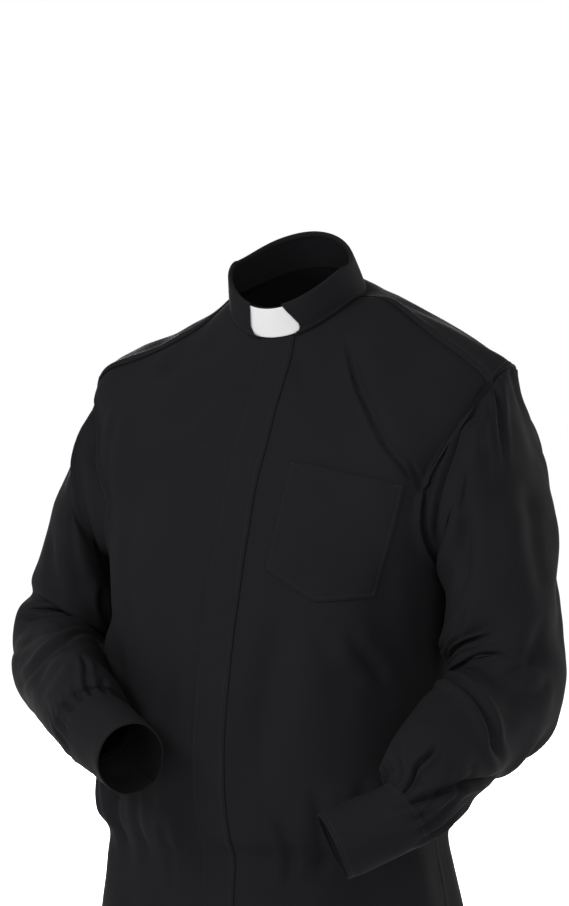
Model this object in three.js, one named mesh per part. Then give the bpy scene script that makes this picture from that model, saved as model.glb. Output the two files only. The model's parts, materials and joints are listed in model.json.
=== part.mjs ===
// A man's long-sleeved clergy shirt, as worn: hollow, buttoned up, both forearms bent forward.
// Millimetres. +Z is up, -Y is the front and +X is the wearer's left side.
// The origin is the middle of the neck seam, where the wearer's neck and shoulders carry it.

import * as THREE from 'three';

// Cloth thickness, the gap left along a seam and the gap between two layers
const CLOTH = 1.2;
const SEAM_GAP = 0.4;
const LAYER_GAP = 0.7;
const POCKET_GAP = 1.3;

// Rings of the body from the neck seam down to the hem. Each ring reaches halfWidth to both
// sides, front and back from its middle at y, and has its own height at front, side and back.
// tilt raises the wearer's left side and twist turns the ring, in degrees.
const BODY = [
  { halfWidth: 70, y: 0, front: 65, back: 65, zFront: -42, zSide: 6, zBack: 38, square: 2.0, tilt: -4, twist: 8 },
  { halfWidth: 108, y: 8, front: 88, back: 80, zFront: -78, zSide: -6, zBack: 17, square: 2.0, tilt: 5, twist: 6 },
  { halfWidth: 152, y: 14, front: 112, back: 96, zFront: -112, zSide: -28, zBack: -12, square: 2.0, tilt: 7, twist: 3 },
  { halfWidth: 200, y: 20, front: 130, back: 106, zFront: -150, zSide: -47, zBack: -42, square: 2.1, tilt: 2, twist: 1 },
  { halfWidth: 233, y: 23, front: 147, back: 110, zFront: -190, zSide: -69, zBack: -78, square: 2.2, tilt: -1, twist: 0 },
  { halfWidth: 225, y: 17, front: 156, back: 118, zFront: -228, zSide: -118, zBack: -120, square: 2.4, tilt: 0, twist: 0 },
  { halfWidth: 211, y: 11, front: 163, back: 122, zFront: -262, zSide: -172, zBack: -172, square: 2.4, tilt: 0, twist: 0 },
  { halfWidth: 199, y: 6, front: 171, back: 124, zFront: -300, zSide: -230, zBack: -230, square: 2.4, tilt: 0, twist: 0 },
  { halfWidth: 191, y: 1, front: 177, back: 125, zFront: -341, zSide: -286, zBack: -288, square: 2.3, tilt: 0, twist: 0 },
  { halfWidth: 187, y: -8, front: 178, back: 126, zFront: -396, zSide: -352, zBack: -352, square: 2.2, tilt: 0, twist: 0 },
  { halfWidth: 188, y: -26, front: 166, back: 134, zFront: -448, zSide: -422, zBack: -420, square: 2.2, tilt: 0, twist: 0 },
  { halfWidth: 194, y: -40, front: 152, back: 142, zFront: -500, zSide: -484, zBack: -482, square: 2.2, tilt: 0, twist: 0 },
  { halfWidth: 196, y: -46, front: 138, back: 142, zFront: -540, zSide: -522, zBack: -522, square: 2.2, tilt: 0, twist: 0 },
  { halfWidth: 186, y: -48, front: 124, back: 134, zFront: -564, zSide: -546, zBack: -546, square: 2.2, tilt: 0, twist: 0 },
  { halfWidth: 190, y: -46, front: 128, back: 138, zFront: -598, zSide: -578, zBack: -584, square: 2.2, tilt: 0, twist: 0 },
  { halfWidth: 197, y: -42, front: 134, back: 146, zFront: -664, zSide: -624, zBack: -672, square: 2.2, tilt: 0, twist: 0 },
  { halfWidth: 199, y: -40, front: 136, back: 148, zFront: -740, zSide: -668, zBack: -762, square: 2.2, tilt: 0, twist: 0 },
];
const HEM = BODY.length - 1;

// The armhole is an oval on the body: top and bottom as ring numbers, reach to front and back,
// and where the yoke's seams meet it, in degrees round from its top
const ARMHOLE = {
  top: 4, bottom: 8, frontLeft: 96, frontRight: 110, back: 104, seamFront: 32, seamBack: 54,
  middle: { x: 208, y: 3, z: -185 },
};

// Where the yoke's front seam leaves the neck seam, in degrees round from centre front
const YOKE_NECK_TURN = 88;
const YOKE_SEAM_BOW = 8;

// The covered placket down centre front, from and to as ring numbers
const PLACKET = { width: 38, from: 0.05, to: HEM - 0.1 };

// The chest pocket's corners as seen straight from the front
const POCKET = {
  topInner: { x: 51, z: -166 },
  topOuter: { x: 172, z: -190 },
  bottomInner: { x: 44, z: -274 },
  bottomOuter: { x: 151, z: -301 },
  point: { x: 99, z: -305 },
};

// Folds of the fronts and back, as soft troughs (negative) or ridges between two points seen
// straight from the front or back
const BODY_FOLDS = [
  { face: 'front', x0: 80, z0: -44, x1: 180, z1: -196, bow: 8, width: 13, depth: -7 },
  { face: 'front', x0: 98, z0: -56, x1: 192, z1: -170, bow: 6, width: 20, depth: 5 },
  { face: 'front', x0: -61, z0: -32, x1: -132, z1: -80, bow: 4, width: 20, depth: -4 },
  { face: 'front', x0: -20, z0: -110, x1: -76, z1: -190, bow: 6, width: 24, depth: -4 },
  { face: 'front', x0: 140, z0: -360, x1: 166, z1: -420, bow: 6, width: 20, depth: -5 },
  { face: 'front', x0: 66, z0: -330, x1: 52, z1: -520, bow: 4, width: 20, depth: -4 },
  { face: 'front', x0: -92, z0: -360, x1: -80, z1: -530, bow: -4, width: 20, depth: -4 },
  { face: 'front', x0: -150, z0: -330, x1: -138, z1: -520, bow: -6, width: 18, depth: -5 },
  { face: 'front', x0: -190, z0: -396, x1: -96, z1: -452, bow: 0, width: 32, depth: -9 },
  { face: 'back', x0: -70, z0: -330, x1: -96, z1: -535, bow: 6, width: 22, depth: -6 },
  { face: 'back', x0: 24, z0: -360, x1: 10, z1: -540, bow: -5, width: 20, depth: -5 },
  { face: 'back', x0: 96, z0: -310, x1: 120, z1: -530, bow: 6, width: 22, depth: -6 },
  { face: 'back', x0: -170, z0: -130, x1: -110, z1: -290, bow: 14, width: 20, depth: -5 },
  { face: 'back', x0: 170, z0: -130, x1: 110, z1: -290, bow: -14, width: 20, depth: -5 },
];

// Sections of each sleeve after the armhole; the last two are the ends of the cuff. wide is the
// half size towards the outside of the arm, front and back are the half sizes across it, and
// lift turns the outside upwards, in degrees.
const SLEEVES = {
  left: [
    { x: 223, y: 5, z: -198, wide: 96, front: 94, back: 98, lift: 78 },
    { x: 227, y: -5, z: -222, wide: 88, front: 88, back: 92, lift: 71 },
    { x: 232, y: -14, z: -250, wide: 80, front: 82, back: 87, lift: 62 },
    { x: 240, y: -26, z: -281, wide: 73, front: 76, back: 83, lift: 51 },
    { x: 247, y: -40, z: -318, wide: 66, front: 70, back: 75, lift: 37 },
    { x: 255, y: -50, z: -351, wide: 60, front: 62, back: 70, lift: 20 },
    { x: 263, y: -60, z: -380, wide: 58, front: 52, back: 68, lift: 6 },
    { x: 266, y: -80, z: -400, wide: 57, front: 50, back: 62, lift: 0 },
    { x: 261, y: -115, z: -418, wide: 55, front: 50, back: 58, lift: 0 },
    { x: 255, y: -150, z: -432, wide: 53, front: 50, back: 50, lift: 0 },
    { x: 250, y: -188, z: -452, wide: 50, front: 50, back: 47, lift: 0 },
    { x: 247, y: -214, z: -471, wide: 46, front: 46, back: 42, lift: 0 },
    { x: 243, y: -238, z: -492, wide: 36, front: 32, back: 32, lift: 0 },
    { x: 185, y: -281, z: -524, wide: 34, front: 31, back: 31, lift: 0 },
  ],
  right: [
    { x: -221, y: 8, z: -198, wide: 92, front: 98, back: 98, lift: 80 },
    { x: -225, y: 2, z: -222, wide: 84, front: 94, back: 88, lift: 73 },
    { x: -230, y: -3, z: -250, wide: 77, front: 88, back: 80, lift: 62 },
    { x: -238, y: -6, z: -280, wide: 69, front: 78, back: 74, lift: 50 },
    { x: -250, y: -10, z: -316, wide: 65, front: 70, back: 68, lift: 34 },
    { x: -262, y: -18, z: -346, wide: 62, front: 62, back: 66, lift: 20 },
    { x: -269, y: -34, z: -372, wide: 58, front: 54, back: 62, lift: 6 },
    { x: -252, y: -70, z: -387, wide: 54, front: 50, back: 58, lift: 0 },
    { x: -214, y: -116, z: -398, wide: 46, front: 50, back: 50, lift: 0 },
    { x: -178, y: -160, z: -410, wide: 42, front: 50, back: 49, lift: 0 },
    { x: -143, y: -192, z: -420, wide: 42, front: 50, back: 47, lift: 0 },
    { x: -126, y: -208, z: -428, wide: 41, front: 44, back: 43, lift: 0 },
    { x: -116, y: -215, z: -435, wide: 37, front: 38, back: 38, lift: 0 },
    { x: -54, y: -252, z: -458, wide: 36, front: 39, back: 39, lift: 0 },
  ],
};

// Folds of the sleeves between two places, each an angle round the sleeve and a station on it
const SLEEVE_FOLDS = [
  { sleeve: 'left', a0: 62, s0: -0.6, a1: 104, s1: 3.2, width: 13, depth: -7 },
  { sleeve: 'left', a0: 24, s0: -0.7, a1: 40, s1: 2.2, width: 14, depth: -5 },
  { sleeve: 'left', a0: 170, s0: 5.4, a1: 60, s1: 5.0, width: 12, depth: -7 },
  { sleeve: 'left', a0: 150, s0: 6.6, a1: 30, s1: 8.2, width: 13, depth: -6 },
  { sleeve: 'left', a0: -30, s0: 4.6, a1: 50, s1: 6.4, width: 15, depth: -5 },
  { sleeve: 'left', a0: -120, s0: 5.2, a1: -60, s1: 7.4, width: 16, depth: -5 },
  { sleeve: 'right', a0: 76, s0: -0.5, a1: 116, s1: 3.6, width: 13, depth: -7 },
  { sleeve: 'right', a0: -60, s0: 4.6, a1: 120, s1: 5.1, width: 10, depth: -6 },
  { sleeve: 'right', a0: -50, s0: 6.8, a1: 90, s1: 6.4, width: 15, depth: -5 },
  { sleeve: 'right', a0: 20, s0: 9.2, a1: 110, s1: 8.6, width: 13, depth: -4 },
  { sleeve: 'right', a0: -130, s0: 1.2, a1: -80, s1: 4.4, width: 18, depth: -5 },
];

// Gathers where the sleeve meets the yoke, and pleats where it meets the cuff
const HEAD_GATHERS = { count: 8, from: 40, to: -14, depth: 1.8, reach: 0.95 };
const CUFF_PLEATS = { count: 3, from: -38, to: 34, depth: 3.2, reach: 1.9 };

// Stations of a cuff's two ends, how far its end laps over its start, where the lap lies, the
// turn its end takes to rise over its start, and its clearance from the sleeve in stations
const CUFF = { from: 12, to: 13, lap: 26, lapAt: -112, rise: 34, clear: 0.008 };

// The slit's placket on the sleeve, by the sleeve's own back columns and stations
const SLEEVE_PLACKET = { fromColumn: 4, toColumn: 2, top: 8.4, bottom: 11.75 };

// The collar's top ring, in the same terms as a ring of the body
const COLLAR_TOP = {
  halfWidth: 64, y: -17, front: 58, back: 58, zFront: -9, zSide: 37, zBack: 73, square: 2.0, tilt: -4, twist: 1,
};

// The white tab's opening in the outer collar: half its turn at each share of the collar's height
const NOTCH = [
  { height: 0.03, half: 14 },
  { height: 0.1, half: 20 },
  { height: 0.25, half: 22.5 },
  { height: 0.5, half: 20.5 },
  { height: 0.75, half: 18 },
  { height: 1, half: 16 },
];
const TAB = { halfTurn: 46, from: 0.05, to: 0.93, thickness: 0.8, lift: 0.4 };
const COLLAR_BAND = { lap: 10, from: 0.02, to: 0.92, behind: 0.5 };
const BUTTON = { radius: 5.7, thickness: 2.6, rim: 0.5, dish: 0.7 };

const rad = THREE.MathUtils.degToRad;
const deg = THREE.MathUtils.radToDeg;
const lerp = THREE.MathUtils.lerp;
const smooth = THREE.MathUtils.smoothstep;
const vec = (x, y, z) => new THREE.Vector3(x, y, z);
const steps = (from, to, count) => Array.from({ length: count + 1 }, (_, k) => lerp(from, to, k / count));

// One value between the middle two of four, smoothly
function blend(a, b, c, d, f) {
  return b + 0.5 * f * (c - a + f * (2 * a - 5 * b + 4 * c - d + f * (3 * (b - c) + d - a)));
}

function readRow(rows, at) {
  const last = rows.length - 1;
  const i = Math.min(Math.max(Math.floor(at), 0), last - 1);
  const near = [i - 1, i, i + 1, i + 2].map((k) => rows[Math.min(Math.max(k, 0), last)]);
  const result = {};
  for (const key of Object.keys(rows[0])) {
    result[key] = blend(near[0][key], near[1][key], near[2][key], near[3][key], at - i);
  }
  return result;
}

// A hump of one at the middle of a fold, fading towards its ends
function foldShape(along, across, width) {
  const ends = smooth(along, -0.15, 0.3) * (1 - smooth(along, 0.75, 1.12));
  return ends * Math.exp(-((across / width) ** 2));
}

// How far the body's folds move the cloth at a point seen from the front or back
function bodyFold(face, x, z) {
  let sum = 0;
  for (const fold of BODY_FOLDS) {
    if (fold.face !== face) continue;
    const dx = fold.x1 - fold.x0;
    const dz = fold.z1 - fold.z0;
    const length = Math.hypot(dx, dz);
    const along = ((x - fold.x0) * dx + (z - fold.z0) * dz) / (length * length);
    const bend = fold.bow * 4 * along * (1 - along);
    const across = ((x - fold.x0) * dz - (z - fold.z0) * dx) / length - bend;
    sum += fold.depth * foldShape(along, across, fold.width);
  }
  return sum;
}

// A point of a ring: turn is degrees from centre front round the wearer's left side
function ringPoint(ring, turn) {
  const s = Math.sin(rad(turn + ring.twist));
  const c = Math.cos(rad(turn + ring.twist));
  const round = 2 / ring.square;
  const reach = c > 0 ? ring.front : ring.back;
  const zEnd = c > 0 ? ring.zFront : ring.zBack;
  return vec(
    ring.halfWidth * Math.sign(s) * Math.abs(s) ** round,
    ring.y - reach * Math.sign(c) * Math.abs(c) ** round,
    ring.zSide + (zEnd - ring.zSide) * Math.abs(c) ** 1.5 + ring.tilt * s,
  );
}

function bodySkin(turn, level) {
  const ring = readRow(BODY, level);
  const point = ringPoint(ring, turn);
  const forward = Math.cos(rad(turn));
  const fold = bodyFold(forward > 0 ? 'front' : 'back', point.x, point.z);
  point.y -= Math.sign(forward) * Math.min(1, Math.abs(forward) * 3) * fold;
  return point;
}

// A skin's normal from small steps each way
function normalOf(skin, a, b, stepA, stepB) {
  const alongA = skin(a + stepA, b).sub(skin(a - stepA, b));
  const alongB = skin(a, b + stepB).sub(skin(a, b - stepB));
  return alongB.cross(alongA).normalize();
}

const bodyNormal = (turn, level) =>
  normalOf(bodySkin, turn, Math.min(Math.max(level, 0.02), HEM - 0.02), 0.5, 0.02);

// A cell of a wall: its outer point, moved out by lift, and the inner point behind it
function cellAt(point, normal, lift = 0, thickness = CLOTH) {
  const outer = point.clone().addScaledVector(normal, lift + thickness);
  return { outer, inner: point.clone().addScaledVector(normal, lift) };
}

// The body's cloth reaches inwards from its skin
const bodyCell = (turn, level, lift = -CLOTH) =>
  cellAt(bodySkin(turn, level), bodyNormal(turn, level), lift);

// Half the turn that a width across centre front takes up at a level
function turnOfWidth(half, level) {
  const ring = readRow(BODY, level);
  return deg(Math.asin((half / ring.halfWidth) ** (ring.square / 2)));
}

// Degrees of turn that make up a gap of the given size at a level
const gapTurn = (size, level) => deg(size / readRow(BODY, level).halfWidth);

// The turn and level where the front has the given x and z
function frontAt(x, z) {
  let level = 4;
  let turn = 30;
  for (let k = 0; k < 40; k += 1) {
    const point = bodySkin(turn, level);
    level += (point.z - z) / 60;
    turn += (x - point.x) / 4;
  }
  return { turn, level };
}

// The armhole's edge: alpha 0 is its top, 90 its front, 180 the underarm and -90 its back
function armholeAt(alpha, side) {
  const share = (1 - Math.cos(rad(alpha))) / 2;
  const level = lerp(ARMHOLE.top, ARMHOLE.bottom, share);
  const ring = readRow(BODY, level);
  const s = Math.sin(rad(alpha));
  const front = side > 0 ? ARMHOLE.frontLeft : ARMHOLE.frontRight;
  const middle = lerp(BODY[ARMHOLE.top].y, BODY[ARMHOLE.bottom].y, share) - ring.y;
  const offset = middle - (s > 0 ? front : ARMHOLE.back) * s;
  const reach = offset < 0 ? ring.front : ring.back;
  const c = Math.min(1, Math.abs(offset) / reach) ** (ring.square / 2);
  return { turn: 90 + Math.sign(offset) * deg(Math.asin(c)), level };
}

// A closed geometry whose faces point outwards
function meshFrom(points, faces) {
  let volume = 0;
  for (const [a, b, c] of faces) {
    volume += points[a].dot(points[b].clone().cross(points[c]));
  }
  const ordered = volume < 0 ? faces.map(([a, b, c]) => [a, c, b]) : faces;
  const geometry = new THREE.BufferGeometry();
  const places = points.flatMap((p) => [p.x, p.y, p.z]);
  geometry.setAttribute('position', new THREE.Float32BufferAttribute(places, 3));
  geometry.setIndex(ordered.flat());
  geometry.computeVertexNormals();
  return geometry;
}

// Joins two lines of cells by triangles, in step with each cell's place u along its line
function stitch(faces, lineA, lineB, closed, flip) {
  const wrap = (line) => (closed ? [...line, { ...line[0], u: line[0].u + 1 }] : line);
  const a = wrap(lineA);
  const b = wrap(lineB);
  let i = 0;
  let j = 0;
  while (i < a.length - 1 || j < b.length - 1) {
    const goA = j === b.length - 1 || (i < a.length - 1 && a[i + 1].u + a[i].u <= b[j + 1].u + b[j].u);
    const face = goA ? [a[i].id, a[i + 1].id, b[j].id] : [a[i].id, b[j + 1].id, b[j].id];
    faces.push(flip ? [face[0], face[2], face[1]] : face);
    if (goA) i += 1;
    else j += 1;
  }
}

// A wall from lines of cells; closed lines make a tube and open ones a panel
function clothWall(lines, closed) {
  const points = [];
  const place = (point) => points.push(point) - 1;
  const skins = ['outer', 'inner'].map((side) => lines.map((line) => line.map((cell, k) => ({
    u: cell.u ?? k / (line.length - 1), id: place(cell[side]),
  }))));
  const faces = [];
  for (let k = 0; k + 1 < lines.length; k += 1) {
    stitch(faces, skins[0][k], skins[0][k + 1], closed, false);
    stitch(faces, skins[1][k], skins[1][k + 1], closed, true);
  }
  const last = lines.length - 1;
  stitch(faces, skins[1][0], skins[0][0], closed, false);
  stitch(faces, skins[0][last], skins[1][last], closed, false);
  if (!closed) {
    const edge = (skin, at) => skin.map((line, k) => ({ u: k, id: line.at(at).id }));
    stitch(faces, edge(skins[0], 0), edge(skins[1], 0), false, false);
    stitch(faces, edge(skins[1], -1), edge(skins[0], -1), false, false);
  }
  return meshFrom(points, faces);
}

const shirt = new THREE.Group();
const BLACK_CLOTH = { color: 0x1d1d20, roughness: 0.85, metalness: 0 };
const BLACK_BUTTON = { color: 0x17171a, roughness: 0.4, metalness: 0 };
const WHITE_TAB = { color: 0xeeeef0, roughness: 0.35, metalness: 0 };

function addPiece(name, geometry, finish = BLACK_CLOTH) {
  const mesh = new THREE.Mesh(geometry, new THREE.MeshStandardMaterial(finish));
  mesh.name = name;
  shirt.add(mesh);
}

// Rows and columns shared by the fronts, the yoke, the back and the sleeves
const SHOULDER_ROWS = 6;
const ARMHOLE_ROWS = 8;
const LOWER_ROWS = 13;
const FRONT_COLUMNS = 10;
const BACK_COLUMNS = 18;
const YOKE_TOP_COLUMNS = 6;

const frontAlphas = steps(ARMHOLE.seamFront, 180, ARMHOLE_ROWS);
const backAlphas = steps(-ARMHOLE.seamBack, -180, ARMHOLE_ROWS);
const topAlphas = steps(ARMHOLE.seamFront, -ARMHOLE.seamBack, YOKE_TOP_COLUMNS);
const lowerLevels = steps(ARMHOLE.bottom, HEM, LOWER_ROWS).slice(1);

// How far the yoke's front seam bows forward, in degrees, at each share of its length
const yokeBow = (f) => YOKE_SEAM_BOW * 4 * f * (1 - f);

// The outside edge of a front, row by row: yoke seam, armhole and side seam
function frontEdge(side) {
  const yokeEnd = armholeAt(ARMHOLE.seamFront, side);
  return [
    ...steps(0, 1, SHOULDER_ROWS).map((f) => ({
      turn: lerp(YOKE_NECK_TURN, yokeEnd.turn, f) - yokeBow(f), level: yokeEnd.level * f,
    })),
    ...frontAlphas.slice(1).map((alpha) => armholeAt(alpha, side)),
    ...lowerLevels.map((level) => ({ turn: 90, level })),
  ];
}

function addFront(name, side) {
  const lines = frontEdge(side).map(({ turn, level }) => {
    const inside = turnOfWidth(PLACKET.width / 2, level);
    const outside = turn - gapTurn(SEAM_GAP / 2, level);
    const turns = [gapTurn(SEAM_GAP / 2, level), ...steps(inside, outside, FRONT_COLUMNS)];
    return turns.map((at) => bodyCell(side * at, level));
  });
  addPiece(name, clothWall(lines, false));
}

// The placket lies on both fronts, on their own rows and columns
function addPlacket() {
  const levels = frontEdge(1).map((edge) => edge.level);
  levels[0] = PLACKET.from;
  levels[levels.length - 1] = PLACKET.to;
  const lines = levels.map((level) => {
    const half = turnOfWidth(PLACKET.width / 2, level);
    return [-half, -half / 2, 0, half / 2, half].map((turn) => bodyCell(turn, level, LAYER_GAP));
  });
  addPiece('placket', clothWall(lines, false));
}

// A place on the left front's own facets, between the points of its rows and columns
function frontFacet(turn, level) {
  const edge = frontEdge(1);
  const row = edge.findIndex((line) => line.level > level) - 1;
  const share = (level - edge[row].level) / (edge[row + 1].level - edge[row].level);
  const ends = [edge[row], edge[row + 1]].map((line) => ({
    level: line.level,
    from: turnOfWidth(PLACKET.width / 2, line.level),
    to: line.turn - gapTurn(SEAM_GAP / 2, line.level),
  }));
  const from = lerp(ends[0].from, ends[1].from, share);
  const to = lerp(ends[0].to, ends[1].to, share);
  const across = ((turn - from) / (to - from)) * FRONT_COLUMNS;
  const column = Math.floor(across);
  const points = ends.map((end) => {
    const at = (k) => bodySkin(lerp(end.from, end.to, k / FRONT_COLUMNS), end.level);
    return [at(column), at(column + 1)];
  });
  const [[a, b], [c, d]] = points;
  const f = across - column;
  return f + share <= 1
    ? a.clone().addScaledVector(b.sub(a), f).addScaledVector(c.sub(a), share)
    : d.clone().addScaledVector(c.sub(d), 1 - f).addScaledVector(b.sub(d), 1 - share);
}

function addPocket() {
  const corner = (a, b, f) => ({ x: lerp(a.x, b.x, f), z: lerp(a.z, b.z, f) });
  const lines = steps(0, 1, 12).map((down) => steps(0, 1, 14).map((across) => {
    const top = corner(POCKET.topInner, POCKET.topOuter, across);
    const bottom = across < 0.5
      ? corner(POCKET.bottomInner, POCKET.point, across * 2)
      : corner(POCKET.point, POCKET.bottomOuter, across * 2 - 1);
    const place = frontAt(lerp(top.x, bottom.x, down), lerp(top.z, bottom.z, down));
    const point = frontFacet(place.turn, place.level);
    return cellAt(point, bodyNormal(place.turn, place.level), POCKET_GAP);
  }));
  addPiece('pocket', clothWall(lines, false));
}

function addBack() {
  const rows = [...backAlphas.map((alpha) => [armholeAt(alpha, 1), armholeAt(alpha, -1)]),
    ...lowerLevels.map((level) => [{ turn: 90, level }, { turn: 90, level }])];
  const lines = rows.map(([left, right], row) => {
    const level = left.level + (row === 0 ? SEAM_GAP / 45 : 0);
    const from = left.turn + gapTurn(SEAM_GAP / 2, level);
    const to = 360 - right.turn - gapTurn(SEAM_GAP / 2, level);
    return steps(from, to, BACK_COLUMNS).map((turn) => bodyCell(turn, level));
  });
  addPiece('back', clothWall(lines, false));
}

// The yoke runs from the neck seam out to the armholes and down to the back seam
function addYoke() {
  const rim = (side) => {
    const corner = armholeAt(-ARMHOLE.seamBack, side);
    const across = steps(corner.turn, 180, BACK_COLUMNS / 2).slice(1);
    return [...topAlphas.map((alpha) => armholeAt(alpha, side)),
      ...across.map((turn) => ({ turn, level: corner.level }))];
  };
  const left = rim(1);
  const right = rim(-1).map(({ turn, level }) => ({ turn: 360 - turn, level }));
  const ends = [...left, ...right.slice(0, -1).reverse()];
  const last = ends.length - 1;
  const necks = steps(YOKE_NECK_TURN, 360 - YOKE_NECK_TURN, last);
  const lines = steps(0, 1, SHOULDER_ROWS).map((f) => ends.map((end, k) => {
    const level = end.level * f;
    const fade = (columns) => Math.max(0, 1 - columns / YOKE_TOP_COLUMNS);
    const bow = yokeBow(f) * (fade(last - k) - fade(k));
    const gap = gapTurn(SEAM_GAP, level) * (Number(k === 0) - Number(k === last));
    return bodyCell(lerp(necks[k], end.turn, f) + bow + gap, level);
  }));
  addPiece('yoke', clothWall(lines, false));
}

// One section of a sleeve as a point at angle alpha; section -1 is the armhole
function sectionPoint(rows, side, k, alpha) {
  if (k < 0) {
    const edge = armholeAt(alpha > 180 ? alpha - 360 : alpha, side);
    return bodySkin(side * edge.turn, edge.level);
  }
  const at = (i) => vec(rows[i].x, rows[i].y, rows[i].z);
  const row = rows[k];
  const before = k === 0 ? vec(side * ARMHOLE.middle.x, ARMHOLE.middle.y, ARMHOLE.middle.z) : at(k - 1);
  const along = at(Math.min(k + 1, rows.length - 1)).sub(before).normalize();
  const outside = vec(side * Math.cos(rad(row.lift)), 0, Math.sin(rad(row.lift)));
  outside.addScaledVector(along, -outside.dot(along) * (1 - smooth(row.lift, 0, 20))).normalize();
  const ahead = outside.clone().cross(along).multiplyScalar(-side).normalize();
  ahead.lerp(vec(0, -1, 0), smooth(row.lift, 10, 50)).normalize();
  const s = Math.sin(rad(alpha));
  return at(k).addScaledVector(outside, row.wide * Math.cos(rad(alpha)))
    .addScaledVector(ahead, (s > 0 ? row.front : row.back) * s);
}

// The angle between two angles round a sleeve, from -180 to 180
const angleTo = (a, b) => ((b - a + 540) % 360) - 180;

// How far a sleeve's folds, gathers and pleats move the cloth
function sleeveFold(name, alpha, station) {
  const across = { degree: 1.05, station: 34 };
  let sum = 0;
  for (const fold of SLEEVE_FOLDS) {
    if (fold.sleeve !== name) continue;
    const da = angleTo(fold.a0, fold.a1) * across.degree;
    const ds = (fold.s1 - fold.s0) * across.station;
    const pa = angleTo(fold.a0, alpha) * across.degree;
    const ps = (station - fold.s0) * across.station;
    const length = Math.hypot(da, ds);
    const along = (pa * da + ps * ds) / (length * length);
    sum += fold.depth * foldShape(along, (pa * ds - ps * da) / length, fold.width);
  }
  const waves = (set, fade) => {
    const place = angleTo(set.from, alpha) / angleTo(set.from, set.to);
    const inside = smooth(place, -0.06, 0.06) * (1 - smooth(place, 0.94, 1.06));
    return set.depth * fade * inside * Math.sin(place * set.count * 2 * Math.PI);
  };
  sum += waves(HEAD_GATHERS, Math.max(0, 1 - (station + 1) / HEAD_GATHERS.reach));
  sum += waves(CUFF_PLEATS, Math.max(0, 1 - (CUFF.from - station) / CUFF_PLEATS.reach));
  return sum * smooth(station, -1, -0.8) * (1 - smooth(station, CUFF.from - 0.15, CUFF.from));
}

// The smooth form of a sleeve and cuff: each whole station is a section
function sleeveForm(name, alpha, station) {
  const rows = SLEEVES[name];
  const side = name === 'left' ? 1 : -1;
  const last = rows.length - 1;
  const i = Math.min(Math.max(Math.floor(station), -1), last - 1);
  const p = [i - 1, i, i + 1, i + 2].map((k) =>
    sectionPoint(rows, side, Math.min(Math.max(k, -1), last), alpha));
  return vec(...['x', 'y', 'z'].map((axis) =>
    blend(p[0][axis], p[1][axis], p[2][axis], p[3][axis], station - i)));
}

function sleeveFormNormal(name, alpha, station) {
  const normal = normalOf((a, b) => sleeveForm(name, a, b), alpha, station, 1, 0.03);
  return name === 'left' ? normal.negate() : normal;
}

function sleeveSkin(name, alpha, station) {
  const point = sleeveForm(name, alpha, station);
  return point.addScaledVector(sleeveFormNormal(name, alpha, station), sleeveFold(name, alpha, station));
}

function sleeveCell(name, alpha, station, lift = -CLOTH) {
  const normal = sleeveFormNormal(name, alpha, station);
  return { u: alpha / 360, ...cellAt(sleeveSkin(name, alpha, station), normal, lift) };
}

// The first line of a sleeve lies along the armhole's edge, in the plane of the body's cloth
function sleeveStart(name, alpha) {
  const side = name === 'left' ? 1 : -1;
  const edge = armholeAt(alpha > 180 ? alpha - 360 : alpha, side);
  const normal = bodyNormal(side * edge.turn, edge.level);
  const point = bodySkin(side * edge.turn, edge.level);
  const inward = vec(side * ARMHOLE.middle.x, ARMHOLE.middle.y, ARMHOLE.middle.z).sub(point);
  inward.addScaledVector(normal, -inward.dot(normal)).normalize();
  return { u: alpha / 360, ...cellAt(point.addScaledVector(inward, SEAM_GAP * 1.5), normal, -CLOTH) };
}

const HEAD_STATIONS = [-0.8, -0.62, -0.35];
const ARM_STATIONS = [0, 0.8, 1.6, 2.5, 3.4, 4.2, 4.9, 5.5, 6.1, 6.8, 7.6, 8.4, 9.2, 10];
const WRIST_STATIONS = [10.7, 11.3, 11.75, 11.99];

function addSleeve(name) {
  const full = (alpha) => (alpha < 0 ? alpha + 360 : alpha);
  const ring = [...topAlphas, ...frontAlphas.slice(1), ...backAlphas.slice(1, -1)].map(full)
    .sort((a, b) => a - b);
  const waves = (set) => steps(set.from, set.to, set.count * 4).filter((_, k) => k % 2 === 1).map(full);
  const withWaves = (set) => {
    const crests = waves(set);
    const clear = ring.filter((alpha) => crests.every((crest) => Math.abs(crest - alpha) > 0.8));
    return [...clear, ...crests].sort((a, b) => a - b);
  };
  const line = (angles) => (station) => angles.map((alpha) => sleeveCell(name, alpha, station));
  const lines = [
    ring.map((alpha) => sleeveStart(name, alpha)),
    ...HEAD_STATIONS.map(line(withWaves(HEAD_GATHERS))),
    ...ARM_STATIONS.map(line(ring)),
    ...WRIST_STATIONS.map(line(withWaves(CUFF_PLEATS))),
  ];
  addPiece(`sleeve_${name}`, clothWall(lines, true));
}

// A band round the wrist whose end laps over its start
function addCuff(name) {
  const angles = steps(CUFF.lapAt, CUFF.lapAt + 360 + CUFF.lap, 24);
  const lines = steps(CUFF.from + CUFF.clear, CUFF.to, 2).map((station) => angles.map((alpha, k) => {
    const over = smooth(alpha, CUFF.lapAt + 358 - CUFF.rise, CUFF.lapAt + 358) * (CLOTH + LAYER_GAP);
    return { ...sleeveCell(name, alpha, station, over - CLOTH), u: k / (angles.length - 1) };
  }));
  addPiece(`cuff_${name}`, clothWall(lines, false));
}

// The strip over the sleeve's slit, laid on the sleeve's own angles and stations
function addSleevePlacket(name) {
  const { fromColumn, toColumn, top, bottom } = SLEEVE_PLACKET;
  const stations = [...ARM_STATIONS, ...WRIST_STATIONS].filter((at) => at >= top && at <= bottom);
  const angles = backAlphas.slice(toColumn, fromColumn + 1);
  const lines = stations.map((station) => angles.map((alpha, k) => ({
    ...sleeveCell(name, alpha, station, LAYER_GAP), u: k / (angles.length - 1),
  })));
  addPiece(`sleeve_placket_${name}`, clothWall(lines, false));
}

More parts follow.
